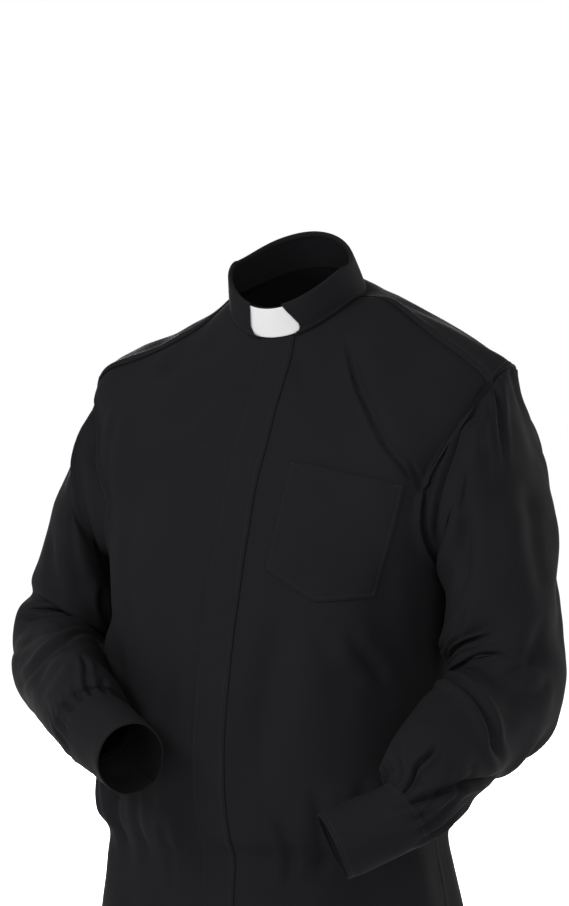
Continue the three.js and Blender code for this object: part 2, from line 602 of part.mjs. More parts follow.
// A small shallow button, turned from its section and set on a cell's normal
function addButton(name, point, normal) {
  const { radius, thickness, rim, dish } = BUTTON;
  const outline = [[0, 0], [radius - rim, 0], [radius, rim], [radius, thickness - rim],
    [radius - rim, thickness], [radius * dish, thickness], [radius * dish - rim, thickness - rim],
    [0, thickness - rim]];
  const turned = new THREE.LatheGeometry(outline.map(([x, y]) => new THREE.Vector2(x, y)), 12);
  turned.applyQuaternion(new THREE.Quaternion().setFromUnitVectors(vec(0, 1, 0), normal));
  turned.translate(point.x, point.y, point.z);
  addPiece(name, turned, BLACK_BUTTON);
}

function addCuffButton(name) {
  const alpha = CUFF.lapAt + CUFF.lap * 0.5;
  const station = lerp(CUFF.from, CUFF.to, 0.5);
  const normal = sleeveFormNormal(name, alpha, station);
  const point = sleeveForm(name, alpha, station).addScaledVector(normal, CLOTH + LAYER_GAP + SEAM_GAP / 2);
  addButton(`cuff_button_${name}`, point, normal);
}

// The collar stands on the neck seam: height 0 is the seam and 1 the top edge
function collarSkin(turn, height) {
  return ringPoint(BODY[0], turn).lerp(ringPoint(COLLAR_TOP, turn), height);
}

const collarNormal = (turn, height) => normalOf(collarSkin, turn, height, 0.5, 0.02).negate();

// The inner band goes once round with its ends lapped behind the tab
function addCollarBand() {
  const turns = steps(-COLLAR_BAND.lap, 360 + COLLAR_BAND.lap, 36);
  const lines = steps(COLLAR_BAND.from, COLLAR_BAND.to, 2).map((height) => turns.map((turn) => {
    const behind = smooth(turn, 330, 350) * (CLOTH + COLLAR_BAND.behind);
    return cellAt(collarSkin(turn, height), collarNormal(turn, height), -CLOTH - behind);
  }));
  addPiece('collar_band', clothWall(lines, false));
}

// The outer collar is folded over the band's top edge and open where the tab shows
function addCollarLeaf() {
  const profile = [
    { height: 0.03, outer: 3.2, inner: 2.0 },
    { height: 0.12, outer: 3.5, inner: 2.3 },
    { height: 0.3, outer: 3.6, inner: 2.4 },
    { height: 0.6, outer: 3.3, inner: 2.1 },
    { height: 0.95, outer: 2.8, inner: 1.6 },
    { height: 1.02, outer: 1.4, inner: 0.9, dip: 0.035 },
    { height: 1.02, outer: -0.7, inner: -0.3, dip: 0.035 },
    { height: 0.95, outer: -2.6, inner: -1.6 },
  ];
  const halfAt = (height) => {
    const k = NOTCH.findIndex((row) => row.height >= Math.min(height, 1));
    if (k <= 0) return NOTCH[0].half;
    const f = (Math.min(height, 1) - NOTCH[k - 1].height) / (NOTCH[k].height - NOTCH[k - 1].height);
    return lerp(NOTCH[k - 1].half, NOTCH[k].half, f);
  };
  const lines = profile.map((row) => {
    const half = halfAt(row.height);
    return steps(half, 360 - half, 32).map((turn) => {
      const normal = collarNormal(turn, row.height);
      const outer = collarSkin(turn, row.height).addScaledVector(normal, row.outer);
      const inner = collarSkin(turn, row.height - (row.dip ?? 0)).addScaledVector(normal, row.inner);
      return { outer, inner };
    });
  });
  addPiece('collar_leaf', clothWall(lines, false));
}

function addTab() {
  const { halfTurn, from, to, thickness, lift } = TAB;
  const lines = steps(from, to, 2).map((height) => steps(-halfTurn, halfTurn, 14).map((turn) =>
    cellAt(collarSkin(turn, height), collarNormal(turn, height), lift, thickness)));
  addPiece('tab', clothWall(lines, false), WHITE_TAB);
}

addFront('front_left', 1);
addFront('front_right', -1);
addPlacket();
addPocket();
addBack();
addYoke();
for (const name of ['left', 'right']) {
  addSleeve(name);
  addCuff(name);
  addSleevePlacket(name);
  addCuffButton(name);
}
addCollarBand();
addCollarLeaf();
addTab();

export default shirt;
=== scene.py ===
"""A black clergy shirt in its worn form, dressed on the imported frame.

Lengths in this script are millimetres until a mesh is made, and +Z is up, -Y the front and +X the
wearer's left side. The cloth's form follows the solids' own rings and sections; finer creases,
seams and stitches are added here. Where a ring, a fold or the armhole stands otherwise than in the
solids, to follow the photograph, a comment beside it says so.
"""

import json
import logging
import math
from collections.abc import Callable
from dataclasses import dataclass, field
from enum import Enum

import bmesh
import bpy
import numpy as np
from mathutils import Matrix, Vector

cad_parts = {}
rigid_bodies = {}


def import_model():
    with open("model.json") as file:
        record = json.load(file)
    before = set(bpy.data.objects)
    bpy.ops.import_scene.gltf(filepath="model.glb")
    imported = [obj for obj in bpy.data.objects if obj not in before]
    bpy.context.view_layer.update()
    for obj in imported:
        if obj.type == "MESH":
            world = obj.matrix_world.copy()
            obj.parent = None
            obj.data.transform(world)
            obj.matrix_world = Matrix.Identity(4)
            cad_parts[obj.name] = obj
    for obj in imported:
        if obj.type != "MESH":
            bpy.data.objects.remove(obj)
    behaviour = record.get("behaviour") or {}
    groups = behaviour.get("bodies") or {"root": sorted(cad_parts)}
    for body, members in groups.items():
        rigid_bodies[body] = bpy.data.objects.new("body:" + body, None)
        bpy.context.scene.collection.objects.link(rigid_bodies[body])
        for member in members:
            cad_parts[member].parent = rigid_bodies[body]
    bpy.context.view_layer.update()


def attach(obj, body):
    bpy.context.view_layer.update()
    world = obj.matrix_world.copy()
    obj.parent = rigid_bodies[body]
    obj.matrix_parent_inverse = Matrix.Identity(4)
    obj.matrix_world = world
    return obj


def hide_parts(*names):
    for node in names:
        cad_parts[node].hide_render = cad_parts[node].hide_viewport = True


LOG = logging.getLogger("clergy_shirt")
Array = np.ndarray

# Cloth thickness in the solids, the space between two layers, and how thin the cloth shows here
SOLID_CLOTH = 1.2
LAYER_GAP = 0.7
CLOTH = 0.8
# A seam's raised allowance, how far in its stitches run, and the hair's breadth that parts two edges
SEAM_RISE = 0.75
SEAM_STITCH = 6.3
SEAM_GAP = 0.2
# How far an under layer reaches below its neighbour, and how deep it lies there
UNDERLAP = 5.0
UNDER_DROP = 0.45
# The two ends of a grid's rows, as the axis and whether it is the far end
BOTH_ENDS = ((1, False), (1, True))
# Metres in a millimetre
MM = 0.001


# ------------------------------------------------------------------ small maths


def smooth(x: Array, low: float, high: float) -> Array:
    """Returns 0 below low, 1 above high and a smooth rise between."""
    f = np.clip((np.asarray(x, float) - low) / (high - low), 0.0, 1.0)
    return f * f * (3.0 - 2.0 * f)


def blend(a: Array, b: Array, c: Array, d: Array, f: Array) -> Array:
    """Returns values a share f of the way from b to c, smooth with a and d beyond them."""
    return b + 0.5 * f * (c - a + f * (2 * a - 5 * b + 4 * c - d + f * (3 * (b - c) + d - a)))


def catmull(rows: Array, at: Array) -> Array:
    """Reads a table between its rows.

    Args:
        rows: The table, a row for each whole number.
        at: Where to read, of any shape.

    Returns:
        The values, with one more axis than at.
    """
    last = len(rows) - 1
    i = np.clip(np.floor(at).astype(int), 0, last - 1)
    f = (at - i)[..., None]
    return blend(*(rows[np.clip(i + k, 0, last)] for k in (-1, 0, 1, 2)), f)


def unit(v: Array) -> Array:
    """Returns vectors at length one."""
    return v / np.maximum(np.linalg.norm(v, axis=-1, keepdims=True), 1e-9)


def waves(points: Array, length: float, seed: int, stretch: tuple[float, float, float] = (1, 1, 1)) -> Array:
    """Soft irregular waves over points.

    Args:
        points: Places in millimetres, last axis x, y, z.
        length: The usual distance between two crests.
        seed: Fixes the pattern.
        stretch: How much longer the waves are along each axis.

    Returns:
        Values from about -1 to 1.
    """
    rng = np.random.default_rng(seed)
    total = np.zeros(points.shape[:-1])
    for _ in range(14):
        way = unit(rng.normal(size=3)) / np.array(stretch)
        turns = rng.uniform(0.6, 1.5) * 2 * math.pi / length
        total += np.sin(points @ way * turns + rng.uniform(0, 2 * math.pi))
    return total / 3.7


def hump(x: Array, centre: float, width: float) -> Array:
    """Returns a soft hump, 1 at its centre and fading over its width."""
    return np.exp(-(((x - centre) / width) ** 2))


def paired(a: Array, b: Array) -> tuple[Array, Array]:
    """Returns two coordinates as float arrays of one shape."""
    return np.broadcast_arrays(np.asarray(a, float), np.asarray(b, float))


# ------------------------------------------------------------------ forms


@dataclass(frozen=True)
class Ring:
    """A level ring of the body, in the solids' terms."""

    half_width: float
    y: float
    front: float
    back: float
    z_front: float
    z_side: float
    z_back: float
    square: float = 2.2
    tilt: float = 0.0
    twist: float = 0.0

    def row(self) -> list[float]:
        """Returns the ring as a table row."""
        return [self.half_width, self.y, self.front, self.back, self.z_front, self.z_side,
                self.z_back, self.square, self.tilt, self.twist]


# Rings 2, 3 and 4 raise the wearer's left side 3.5, 4 and 1.5 mm less than in the solids
BODY_RINGS = (
    Ring(70, 0, 65, 65, -42, 6, 38, 2.0, -4, 8),
    Ring(108, 8, 88, 80, -78, -6, 17, 2.0, 5, 6),
    Ring(152, 14, 112, 96, -112, -28, -12, 2.0, 3.5, 3),
    Ring(200, 20, 130, 106, -150, -47, -42, 2.1, -2, 1),
    Ring(233, 23, 147, 110, -190, -69, -78, 2.2, -2.5, 0),
    Ring(225, 17, 156, 118, -228, -118, -120, 2.4),
    Ring(211, 11, 163, 122, -262, -172, -172, 2.4),
    Ring(199, 6, 171, 124, -300, -230, -230, 2.4),
    Ring(191, 1, 177, 125, -341, -286, -288, 2.3),
    Ring(187, -8, 178, 126, -396, -352, -352),
    Ring(188, -26, 166, 134, -448, -422, -420),
    Ring(194, -40, 152, 142, -500, -484, -482),
    Ring(196, -46, 138, 142, -540, -522, -522),
    Ring(186, -48, 124, 134, -564, -546, -546),
    Ring(190, -46, 128, 138, -598, -578, -584),
    Ring(197, -42, 134, 146, -664, -624, -672),
    Ring(199, -40, 136, 148, -740, -668, -762),
)
HEM = len(BODY_RINGS) - 1
COLLAR_TOP = Ring(64, -17, 58, 58, -9, 37, 73, 2.0, -4, 1)


class Face(Enum):
    """Which side of the body a crease is seen from."""

    FRONT = 1
    BACK = -1


@dataclass(frozen=True)
class Crease:
    """A fold of the cloth along a path.

    Its path is in millimetres across and up for the body, and in degrees round and stations for a
    sleeve. A positive depth is a ridge; lean makes one flank steeper, and shoulder raises the
    cloth beside a trough.
    """

    path: tuple[tuple[float, float], ...]
    width: float
    depth: float
    lean: float = 0.0
    shoulder: float = 0.35
    fade: tuple[float, float] = (0.25, 0.25)

    def shift(self, u: Array, v: Array, scale: tuple[float, float] = (1.0, 1.0)) -> Array:
        """Works out how far the crease moves the cloth.

        Args:
            u: First coordinate of the points.
            v: Second coordinate.
            scale: Millimetres for one unit of each coordinate.

        Returns:
            The shift along the surface's normal, in millimetres.
        """
        pts = np.array(self.path, float) * scale
        if len(pts) > 2:
            pts = catmull(pts, np.linspace(0, len(pts) - 1, (len(pts) - 1) * 5 + 1))
        x, y = np.broadcast_arrays(u * scale[0], v * scale[1])
        reach = 4 * self.width
        near = (x > pts[:, 0].min() - reach) & (x < pts[:, 0].max() + reach)
        near &= (y > pts[:, 1].min() - reach) & (y < pts[:, 1].max() + reach)
        moved = np.zeros(x.shape)
        moved[near] = self._profile(x[near], y[near], pts)
        return moved

    def _profile(self, x: Array, y: Array, pts: Array) -> Array:
        """Works out the crease's shift at places near it.

        Args:
            x: Places across, in millimetres.
            y: Places along, in millimetres.
            pts: The crease's path.

        Returns:
            The shift in millimetres.
        """
        legs = np.diff(pts, axis=0)
        lengths = np.linalg.norm(legs, axis=1)
        total, before = lengths.sum(), np.concatenate([[0.0], np.cumsum(lengths)])
        best, across, along = np.full(x.shape, 1e9), np.zeros(x.shape), np.zeros(x.shape)
        for k, (leg, length) in enumerate(zip(legs, lengths)):
            dx, dy = x - pts[k, 0], y - pts[k, 1]
            raw = (dx * leg[0] + dy * leg[1]) / length
            t = np.clip(raw, -1e9 if k == 0 else 0.0, 1e9 if k == len(legs) - 1 else length)
            away = np.hypot(dx - t * leg[0] / length, dy - t * leg[1] / length)
            side = np.sign(dx * leg[1] - dy * leg[0])
            nearer = away < best
            best = np.where(nearer, away, best)
            across = np.where(nearer, side * away, across)
            along = np.where(nearer, (before[k] + t) / total, along)
        ends = smooth(along, -0.08, self.fade[0]) * (1 - smooth(along, 1 - self.fade[1], 1.08))
        wide = self.width * np.where(across * self.lean > 0, 1 - 0.6 * abs(self.lean), 1.0)
        trough = hump(across, 0, wide)
        beside = hump(np.abs(across), 2.1 * self.width, 1.2 * self.width)
        return self.depth * ends * (trough - self.shoulder * beside)


@dataclass(frozen=True)
class SolidFold:
    """A soft fold that the solids have too, seen straight from the front or back."""

    face: Face
    x0: float
    z0: float
    x1: float
    z1: float
    bow: float
    width: float
    depth: float


# The first two are 5 and 3 mm shallower than in the solids
SOLID_FOLDS = (
    SolidFold(Face.FRONT, 80, -44, 180, -196, 8, 13, -2),
    SolidFold(Face.FRONT, 98, -56, 192, -170, 6, 20, 2),
    SolidFold(Face.FRONT, -61, -32, -132, -80, 4, 20, -4),
    SolidFold(Face.FRONT, -20, -110, -76, -190, 6, 24, -4),
    SolidFold(Face.FRONT, 140, -360, 166, -420, 6, 20, -5),
    SolidFold(Face.FRONT, 66, -330, 52, -520, 4, 20, -4),
    SolidFold(Face.FRONT, -92, -360, -80, -530, -4, 20, -4),
    SolidFold(Face.FRONT, -150, -330, -138, -520, -6, 18, -5),
    SolidFold(Face.FRONT, -190, -396, -96, -452, 0, 32, -9),
    SolidFold(Face.BACK, -70, -330, -96, -535, 6, 22, -6),
    SolidFold(Face.BACK, 24, -360, 10, -540, -5, 20, -5),
    SolidFold(Face.BACK, 96, -310, 120, -530, 6, 22, -6),
    SolidFold(Face.BACK, -170, -130, -110, -290, 14, 20, -5),
    SolidFold(Face.BACK, 170, -130, 110, -290, -14, 20, -5),
)


def fold_hump(along: Array, across: Array, width: float) -> Array:
    """Returns the solids' own fold shape, one at its middle and fading to its ends."""
    ends = smooth(along, -0.15, 0.3) * (1 - smooth(along, 0.75, 1.12))
    return ends * hump(across, 0, width)


def ring_point(ring: Array, turn: Array) -> Array:
    """Places points on rings.

    Args:
        ring: Ring rows, the last axis holding a ring's ten values.
        turn: Degrees from centre front round the wearer's left side.

    Returns:
        The points in millimetres.
    """
    half, y, front, back, zf, zs, zb, square, tilt, twist = np.moveaxis(ring, -1, 0)
    s, c = np.sin(np.radians(turn + twist)), np.cos(np.radians(turn + twist))
    power = 2.0 / square
    reach, z_end = np.where(c > 0, front, back), np.where(c > 0, zf, zb)
    return np.stack([
        half * np.sign(s) * np.abs(s) ** power,
        y - reach * np.sign(c) * np.abs(c) ** power,
        zs + (z_end - zs) * np.abs(c) ** 1.5 + tilt * s,
    ], axis=-1)


def normal_of(skin: Callable[[Array, Array], Array], a: Array, b: Array, step_a: float, step_b: float) -> Array:
    """Works out a skin's unit normals from small steps along its two coordinates.

    Args:
        skin: Places the points.
        a: The first coordinate.
        b: The second coordinate.
        step_a: The step along the first.
        step_b: The step along the second.

    Returns:
        The normals.
    """
    along_a = skin(a + step_a, b) - skin(a - step_a, b)
    along_b = skin(a, b + step_b) - skin(a, b - step_b)
    return unit(np.cross(along_b, along_a))


@dataclass
class Armhole:
    """The oval where a sleeve joins the body.

    Its seams turn 25 degrees in front and reach back 95 mm, where the solids have 32 and 104: only
    the seam moves over the body, so that it runs as in the photograph and the back has no corner.
    """

    top: float = 4.0
    bottom: float = 8.0
    front_left: float = 96.0
    front_right: float = 110.0
    back: float = 95.0
    seam_front: float = 25.0
    seam_back: float = 54.0
    middle: tuple[float, float, float] = (208.0, 3.0, -185.0)


@dataclass
class BodyForm:
    """The body's surface: turn is degrees from centre front, level is a ring number."""

    creases: dict[Face, list[Crease]] = field(default_factory=dict)
    armhole: Armhole = field(default_factory=Armhole)
    wave_depth: float = 2.5

    def __post_init__(self) -> None:
        """Keeps the rings as one table."""
        self.rings = np.array([ring.row() for ring in BODY_RINGS], float)

    def plain(self, turn: Array, level: Array) -> Array:
        """Places the solids' own surface with its largest folds.

        Args:
            turn: Degrees from centre front.
            level: Ring numbers.

        Returns:
            The points in millimetres.
        """
        turn, level = paired(turn, level)
        points = ring_point(catmull(self.rings, level), turn)
        forward = np.cos(np.radians(turn))
        total = np.zeros(turn.shape)
        for fold in SOLID_FOLDS:
            dx, dz = fold.x1 - fold.x0, fold.z1 - fold.z0
            length = math.hypot(dx, dz)
            px, pz = points[..., 0] - fold.x0, points[..., 2] - fold.z0
            along = (px * dx + pz * dz) / length**2
            across = (px * dz - pz * dx) / length - fold.bow * 4 * along * (1 - along)
            mine = (forward > 0) == (fold.face is Face.FRONT)
            total += np.where(mine, fold.depth * fold_hump(along, across, fold.width), 0.0)
        points[..., 1] -= np.sign(forward) * np.minimum(1, np.abs(forward) * 3) * total
        return points

    def normal(self, turn: Array, level: Array) -> Array:
        """Returns the plain surface's outward normal."""
        turn, level = paired(turn, level)
        return normal_of(self.plain, turn, np.clip(level, 0.02, HEM - 0.02), 0.5, 0.02)

    def fine(self, turn: Array, level: Array, points: Array) -> Array:
        """Works out how far the finer creases and waves move the cloth.

        Args:
            turn: Degrees from centre front.
            level: Ring numbers.
            points: The plain surface there.

        Returns:
            The shift along the normal, in millimetres.
        """
        forward = np.cos(np.radians(turn))
        total = np.zeros(np.shape(turn))
        for face, creases in self.creases.items():
            mine = np.clip(forward * face.value * 4, 0, 1)
            for crease in creases:
                total += mine * crease.shift(points[..., 0], points[..., 2])
        calm = smooth(level, 0.0, 1.5)
        total += self.wave_depth * calm * waves(points, 84, 7, (1, 1, 2.4))
        total += 0.36 * calm * waves(points, 33, 19, (1, 1, 1.6))
        return total

    def skin(self, turn: Array, level: Array, lift: Array | float = 0.0) -> tuple[Array, Array]:
        """Places the cloth's outer side.

        Args:
            turn: Degrees from centre front.
            level: Ring numbers.
            lift: How far the cloth is moved out there.

        Returns:
            The points and normals.
        """
        turn, level = paired(turn, level)
        points, normals = self.plain(turn, level), self.normal(turn, level)
        shift = self.fine(turn, level, points) + lift
        return points + normals * shift[..., None], normals

    def turn_of_width(self, half: float, level: Array) -> Array:
        """Returns the turn that a width from centre front takes up at a level."""
        ring = catmull(self.rings, np.asarray(level, float))
        return np.degrees(np.arcsin((half / ring[..., 0]) ** (ring[..., 7] / 2)))

    def turn_of_gap(self, size: float, level: Array) -> Array:
        """Returns the turn that makes up a small width at the side."""
        return np.degrees(size / catmull(self.rings, np.asarray(level, float))[..., 0])

    def armhole_at(self, alpha: Array, side: int) -> tuple[Array, Array]:
        """Places the armhole's edge.

        Args:
            alpha: 0 at its top, 90 at its front, 180 at the underarm, -90 at its back.
            side: 1 for the wearer's left and -1 for the right.

        Returns:
            The turn, on the left side, and the level.
        """
        hole = self.armhole
        alpha = np.asarray(alpha, float)
        share = (1 - np.cos(np.radians(alpha))) / 2
        level = hole.top + (hole.bottom - hole.top) * share
        ring = catmull(self.rings, level)
        s = np.sin(np.radians(alpha))
        reach = np.where(s > 0, hole.front_left if side > 0 else hole.front_right, hole.back)
        ends = [self.rings[int(k), 1] for k in (hole.top, hole.bottom)]
        offset = ends[0] + (ends[1] - ends[0]) * share - ring[..., 1] - reach * s
        deep = np.where(offset < 0, ring[..., 2], ring[..., 3])
        c = np.minimum(1, np.abs(offset) / deep) ** (ring[..., 7] / 2)
        return 90 + np.sign(offset) * np.degrees(np.arcsin(c)), level

    def find(self, x: Array, z: Array) -> tuple[Array, Array]:
        """Finds places of the front.

        Args:
            x: Millimetres across.
            z: Millimetres up.

        Returns:
            The turns and levels there.
        """
        turn, level = np.full(np.shape(x), 30.0), np.full(np.shape(x), 4.0)
        for _ in range(50):
            p = self.plain(turn, level)
            level = np.clip(level + (p[..., 2] - z) / 60, 0, HEM)
            turn = turn + (x - p[..., 0]) / 4
        return turn, level


@dataclass(frozen=True)
class Section:
    """A section of a sleeve, in the solids' terms."""

    x: float
    y: float
    z: float
    wide: float
    front: float
    back: float
    lift: float


LEFT_SECTIONS = (
    Section(223, 5, -198, 96, 94, 98, 78), Section(227, -5, -222, 88, 88, 92, 71),
    Section(232, -14, -250, 80, 82, 87, 62), Section(240, -26, -281, 73, 76, 83, 51),
    Section(247, -40, -318, 66, 70, 75, 37), Section(255, -50, -351, 60, 62, 70, 20),
    Section(263, -60, -380, 58, 52, 68, 6), Section(266, -80, -400, 57, 50, 62, 0),
    Section(261, -115, -418, 55, 50, 58, 0), Section(255, -150, -432, 53, 50, 50, 0),
    Section(250, -188, -452, 50, 50, 47, 0), Section(247, -214, -471, 46, 46, 42, 0),
    Section(243, -238, -492, 36, 32, 32, 0), Section(185, -281, -524, 34, 31, 31, 0),
)
RIGHT_SECTIONS = (
    Section(-221, 8, -198, 92, 98, 98, 80), Section(-225, 2, -222, 84, 94, 88, 73),
    Section(-230, -3, -250, 77, 88, 80, 62), Section(-238, -6, -280, 69, 78, 74, 50),
    Section(-250, -10, -316, 65, 70, 68, 34), Section(-262, -18, -346, 62, 62, 66, 20),
    Section(-269, -34, -372, 58, 54, 62, 6), Section(-252, -70, -387, 54, 50, 58, 0),
    Section(-214, -116, -398, 46, 50, 50, 0), Section(-178, -160, -410, 42, 50, 49, 0),
    Section(-143, -192, -420, 42, 50, 47, 0), Section(-126, -208, -428, 41, 44, 43, 0),
    Section(-116, -215, -435, 37, 38, 38, 0), Section(-54, -252, -458, 36, 39, 39, 0),
)
CUFF_FROM, CUFF_TO = 12, 13
ROUND_SCALE, LONG_SCALE = 1.05, 34.0


@dataclass
class SleeveForm:
    """A sleeve's surface: alpha is degrees round it and each whole station is a section."""

    side: int
    sections: tuple[Section, ...]
    body: BodyForm
    solid_folds: list[Crease]
    creases: list[Crease] = field(default_factory=list)
    wave_depth: float = 1.0
    seed: int = 3

    def __post_init__(self) -> None:
        """Works out each section's middle and directions."""
        middles = np.array([(s.x, s.y, s.z) for s in self.sections], float)
        last = len(self.sections) - 1
        rows = []
        for k, s in enumerate(self.sections):
            root = np.array(self.body.armhole.middle) * (self.side, 1, 1)
            before = root if k == 0 else middles[k - 1]
            along = unit(middles[min(k + 1, last)] - before)
            lift = math.radians(s.lift)
            outside = np.array([self.side * math.cos(lift), 0.0, math.sin(lift)])
            outside = unit(outside - along * (outside @ along) * (1 - smooth(s.lift, 0, 20)))
            ahead = unit(-self.side * np.cross(outside, along))
            turn = float(smooth(s.lift, 10, 50))
            ahead = unit(ahead * (1 - turn) + np.array([0.0, -1.0, 0.0]) * turn)
            rows.append(np.concatenate([middles[k], outside, ahead, [s.wide, s.front, s.back]]))
        self.rows = np.array(rows)
        self.last = last

    def _section(self, k: Array, alpha: Array) -> Array:
        """Places points of whole sections.

        Args:
            k: Section numbers; section -1 is the armhole.
            alpha: Degrees round the sleeve.

        Returns:
            The points in millimetres.
        """
        row = self.rows[np.clip(k, 0, self.last)]
        s, c = np.sin(np.radians(alpha))[..., None], np.cos(np.radians(alpha))[..., None]
        reach = np.where(s > 0, row[..., 10:11], row[..., 11:12])
        points = row[..., 0:3] + row[..., 3:6] * row[..., 9:10] * c + row[..., 6:9] * reach * s
        start = k < 0
        if np.any(start):
            turn, level = self.body.armhole_at((alpha[start] + 180) % 360 - 180, self.side)
            points[start] = self.body.plain(self.side * turn, level)
        return points

    def form(self, alpha: Array, station: Array) -> Array:
        """Places the sleeve's smooth form, without folds.

        Args:
            alpha: Degrees round the sleeve.
            station: Section numbers, with fractions between sections.

        Returns:
            The points in millimetres.
        """
        alpha, station = paired(alpha, station)
        i = np.clip(np.floor(station).astype(int), -1, self.last - 1)
        f = (station - i)[..., None]
        return blend(*(self._section(np.clip(i + k, -1, self.last), alpha) for k in (-1, 0, 1, 2)), f)

    def normal(self, alpha: Array, station: Array) -> Array:
        """Returns the smooth form's outward normal."""
        alpha, station = paired(alpha, station)
        return -self.side * normal_of(self.form, alpha, station, 1.0, 0.03)

    def folds(self, alpha: Array, station: Array) -> Array:
        """Works out how far the creases, gathers, pleats and waves move the cloth.

        Args:
            alpha: Degrees round the sleeve.
            station: Section numbers, with fractions between sections.

        Returns:
            The shift along the normal, in millimetres.
        """
        total = np.zeros(np.shape(alpha))
        for crease in self.solid_folds + self.creases:
            middle = np.mean([p[0] for p in crease.path])
            near = middle + (alpha - middle + 180) % 360 - 180
            total += crease.shift(near, station, (ROUND_SCALE, LONG_SCALE))
        points = self.form(alpha, station)
        total += self.wave_depth * waves(points, 70, self.seed, (1.4, 1.2, 2.0))
        total += 0.35 * waves(points, 27, self.seed + 5, (1.2, 1.2, 1.5))
        return total * smooth(station, -1.02, -0.93)

    def skin(self, alpha: Array, station: Array, lift: Array | float = 0.0) -> tuple[Array, Array]:
        """Places the cloth's outer side.

        Args:
            alpha: Degrees round the sleeve.
            station: Section numbers, with fractions between sections.
            lift: How far the cloth is moved out there.

        Returns:
            The points and normals.
        """
        alpha, station = paired(alpha, station)
        normals = self.normal(alpha, station)
        shift = self.folds(alpha, station) + lift
        return self.form(alpha, station) + normals * shift[..., None], normals


@dataclass
class CollarForm:
    """The collar's surface: height 0 is the neck seam and 1 the top edge."""

    body: BodyForm

    def plain(self, turn: Array, height: Array) -> Array:
        """Places the collar's surface.

        Args:
            turn: Degrees from centre front.
            height: 0 at the neck seam and 1 at the top edge.

        Returns:
            The points in millimetres.
        """
        turn, height = paired(turn, height)
        low = ring_point(np.broadcast_to(self.body.rings[0], (*turn.shape, 10)), turn)
        high = ring_point(np.broadcast_to(np.array(COLLAR_TOP.row()), (*turn.shape, 10)), turn)
        return low + (high - low) * height[..., None]

    def skin(self, turn: Array, height: Array, lift: Array | float) -> tuple[Array, Array]:
        """Places a layer of the collar.

        Args:
            turn: Degrees from centre front.
            height: 0 at the neck seam and 1 at the top edge.
            lift: How far the layer stands out from the collar's surface.

        Returns:
            The points and normals.
        """
        turn, height = paired(turn, height)
        normals = -normal_of(self.plain, turn, height, 0.5, 0.02)
        lift = np.broadcast_to(np.asarray(lift, float), turn.shape)
        return self.plain(turn, height) + normals * lift[..., None], normals


# ------------------------------------------------------------------ meshes


def add_object(name: str, data: bpy.types.ID) -> bpy.types.Object:
    """Adds an object to the scene.

    Args:
        name: The object's name.
        data: Its mesh, lamp or camera.

    Returns:
        The linked object.
    """
    made = bpy.data.objects.new(name, data)
    bpy.context.scene.collection.objects.link(made)
    return made


def shade_smooth(mesh: bpy.types.Mesh, sharp: float | None = None) -> None:
    """Shades a mesh smooth.

    Args:
        mesh: The mesh.
        sharp: The angle in degrees from which an edge stays sharp, if any does.
    """
    mesh.polygons.foreach_set("use_smooth", np.ones(len(mesh.polygons), dtype=bool))
    if sharp is not None:
        mesh.set_sharp_from_angle(angle=math.radians(sharp))


@dataclass
class Shell:
    """A thin wall of cloth from a grid of outer points."""

    name: str
    points: Array
    normals: Array
    thick: Array | float = CLOTH
    closed: bool = False

    def build(self) -> bpy.types.Object:
        """Makes the wall's mesh, closed round its edges, with a UV map in metres.

        Returns:
            The linked object.
        """
        rows, cols = self.points.shape[:2]
        thick = np.broadcast_to(np.asarray(self.thick, float), (rows, cols))[..., None]
        inner = self.points - self.normals * thick
        verts = np.concatenate([self.points.reshape(-1, 3), inner.reshape(-1, 3)]) * MM
        grid = np.arange(rows * cols).reshape(rows, cols)
        if self.closed:
            grid = np.concatenate([grid, grid[:, :1]], axis=1)
        quads = np.stack([grid[:-1, :-1], grid[:-1, 1:], grid[1:, 1:], grid[1:, :-1]], axis=-1).reshape(-1, 4)
        under = rows * cols
        rims = [grid[0, ::-1], grid[-1]] + ([] if self.closed else [grid[:, 0], grid[::-1, -1]])
        strips = [np.stack([rim[:-1], rim[1:], rim[1:] + under, rim[:-1] + under], axis=-1) for rim in rims]
        faces = np.concatenate([quads, quads[:, ::-1] + under, *strips])
        a, b, c, d = (verts[faces[:, k]] for k in range(4))
        volume = sum(np.einsum("ij,ij->i", a, np.cross(*pair)).sum() for pair in ((b, c), (c, d)))
        if volume < 0:
            faces = faces[:, ::-1]
        mesh = bpy.data.meshes.new(self.name)
        mesh.vertices.add(len(verts))
        mesh.vertices.foreach_set("co", verts.astype(np.float32).ravel())
        mesh.loops.add(faces.size)
        mesh.loops.foreach_set("vertex_index", faces.astype(np.int32).ravel())
        mesh.polygons.add(len(faces))
        mesh.polygons.foreach_set("loop_start", np.arange(0, faces.size, 4, dtype=np.int32))
        mesh.update(calc_edges=True)
        mesh.validate()
        self._map(mesh, faces, rows, cols)
        shade_smooth(mesh, 48)
        return add_object(self.name, mesh)

    def _map(self, mesh: bpy.types.Mesh, faces: Array, rows: int, cols: int) -> None:
        """Lays a UV map in metres along the grid, for the weave.

        Args:
            mesh: The wall's mesh.
            faces: Its faces' vertex numbers.
            rows: The grid's rows.
            cols: The grid's columns.
        """
        step_c = np.linalg.norm(np.diff(self.points, axis=1), axis=-1).mean(axis=0)
        step_r = np.linalg.norm(np.diff(self.points, axis=0), axis=-1).mean(axis=1)
        u = np.concatenate([[0.0], np.cumsum(step_c)]) * MM
        v = np.concatenate([[0.0], np.cumsum(step_r)]) * MM
        spot = faces % (rows * cols)
        places = np.stack([u[spot % cols], v[spot // cols]], axis=-1)
        layer = mesh.uv_layers.new(name="UVMap")
        layer.data.foreach_set("uv", places.astype(np.float32).ravel())


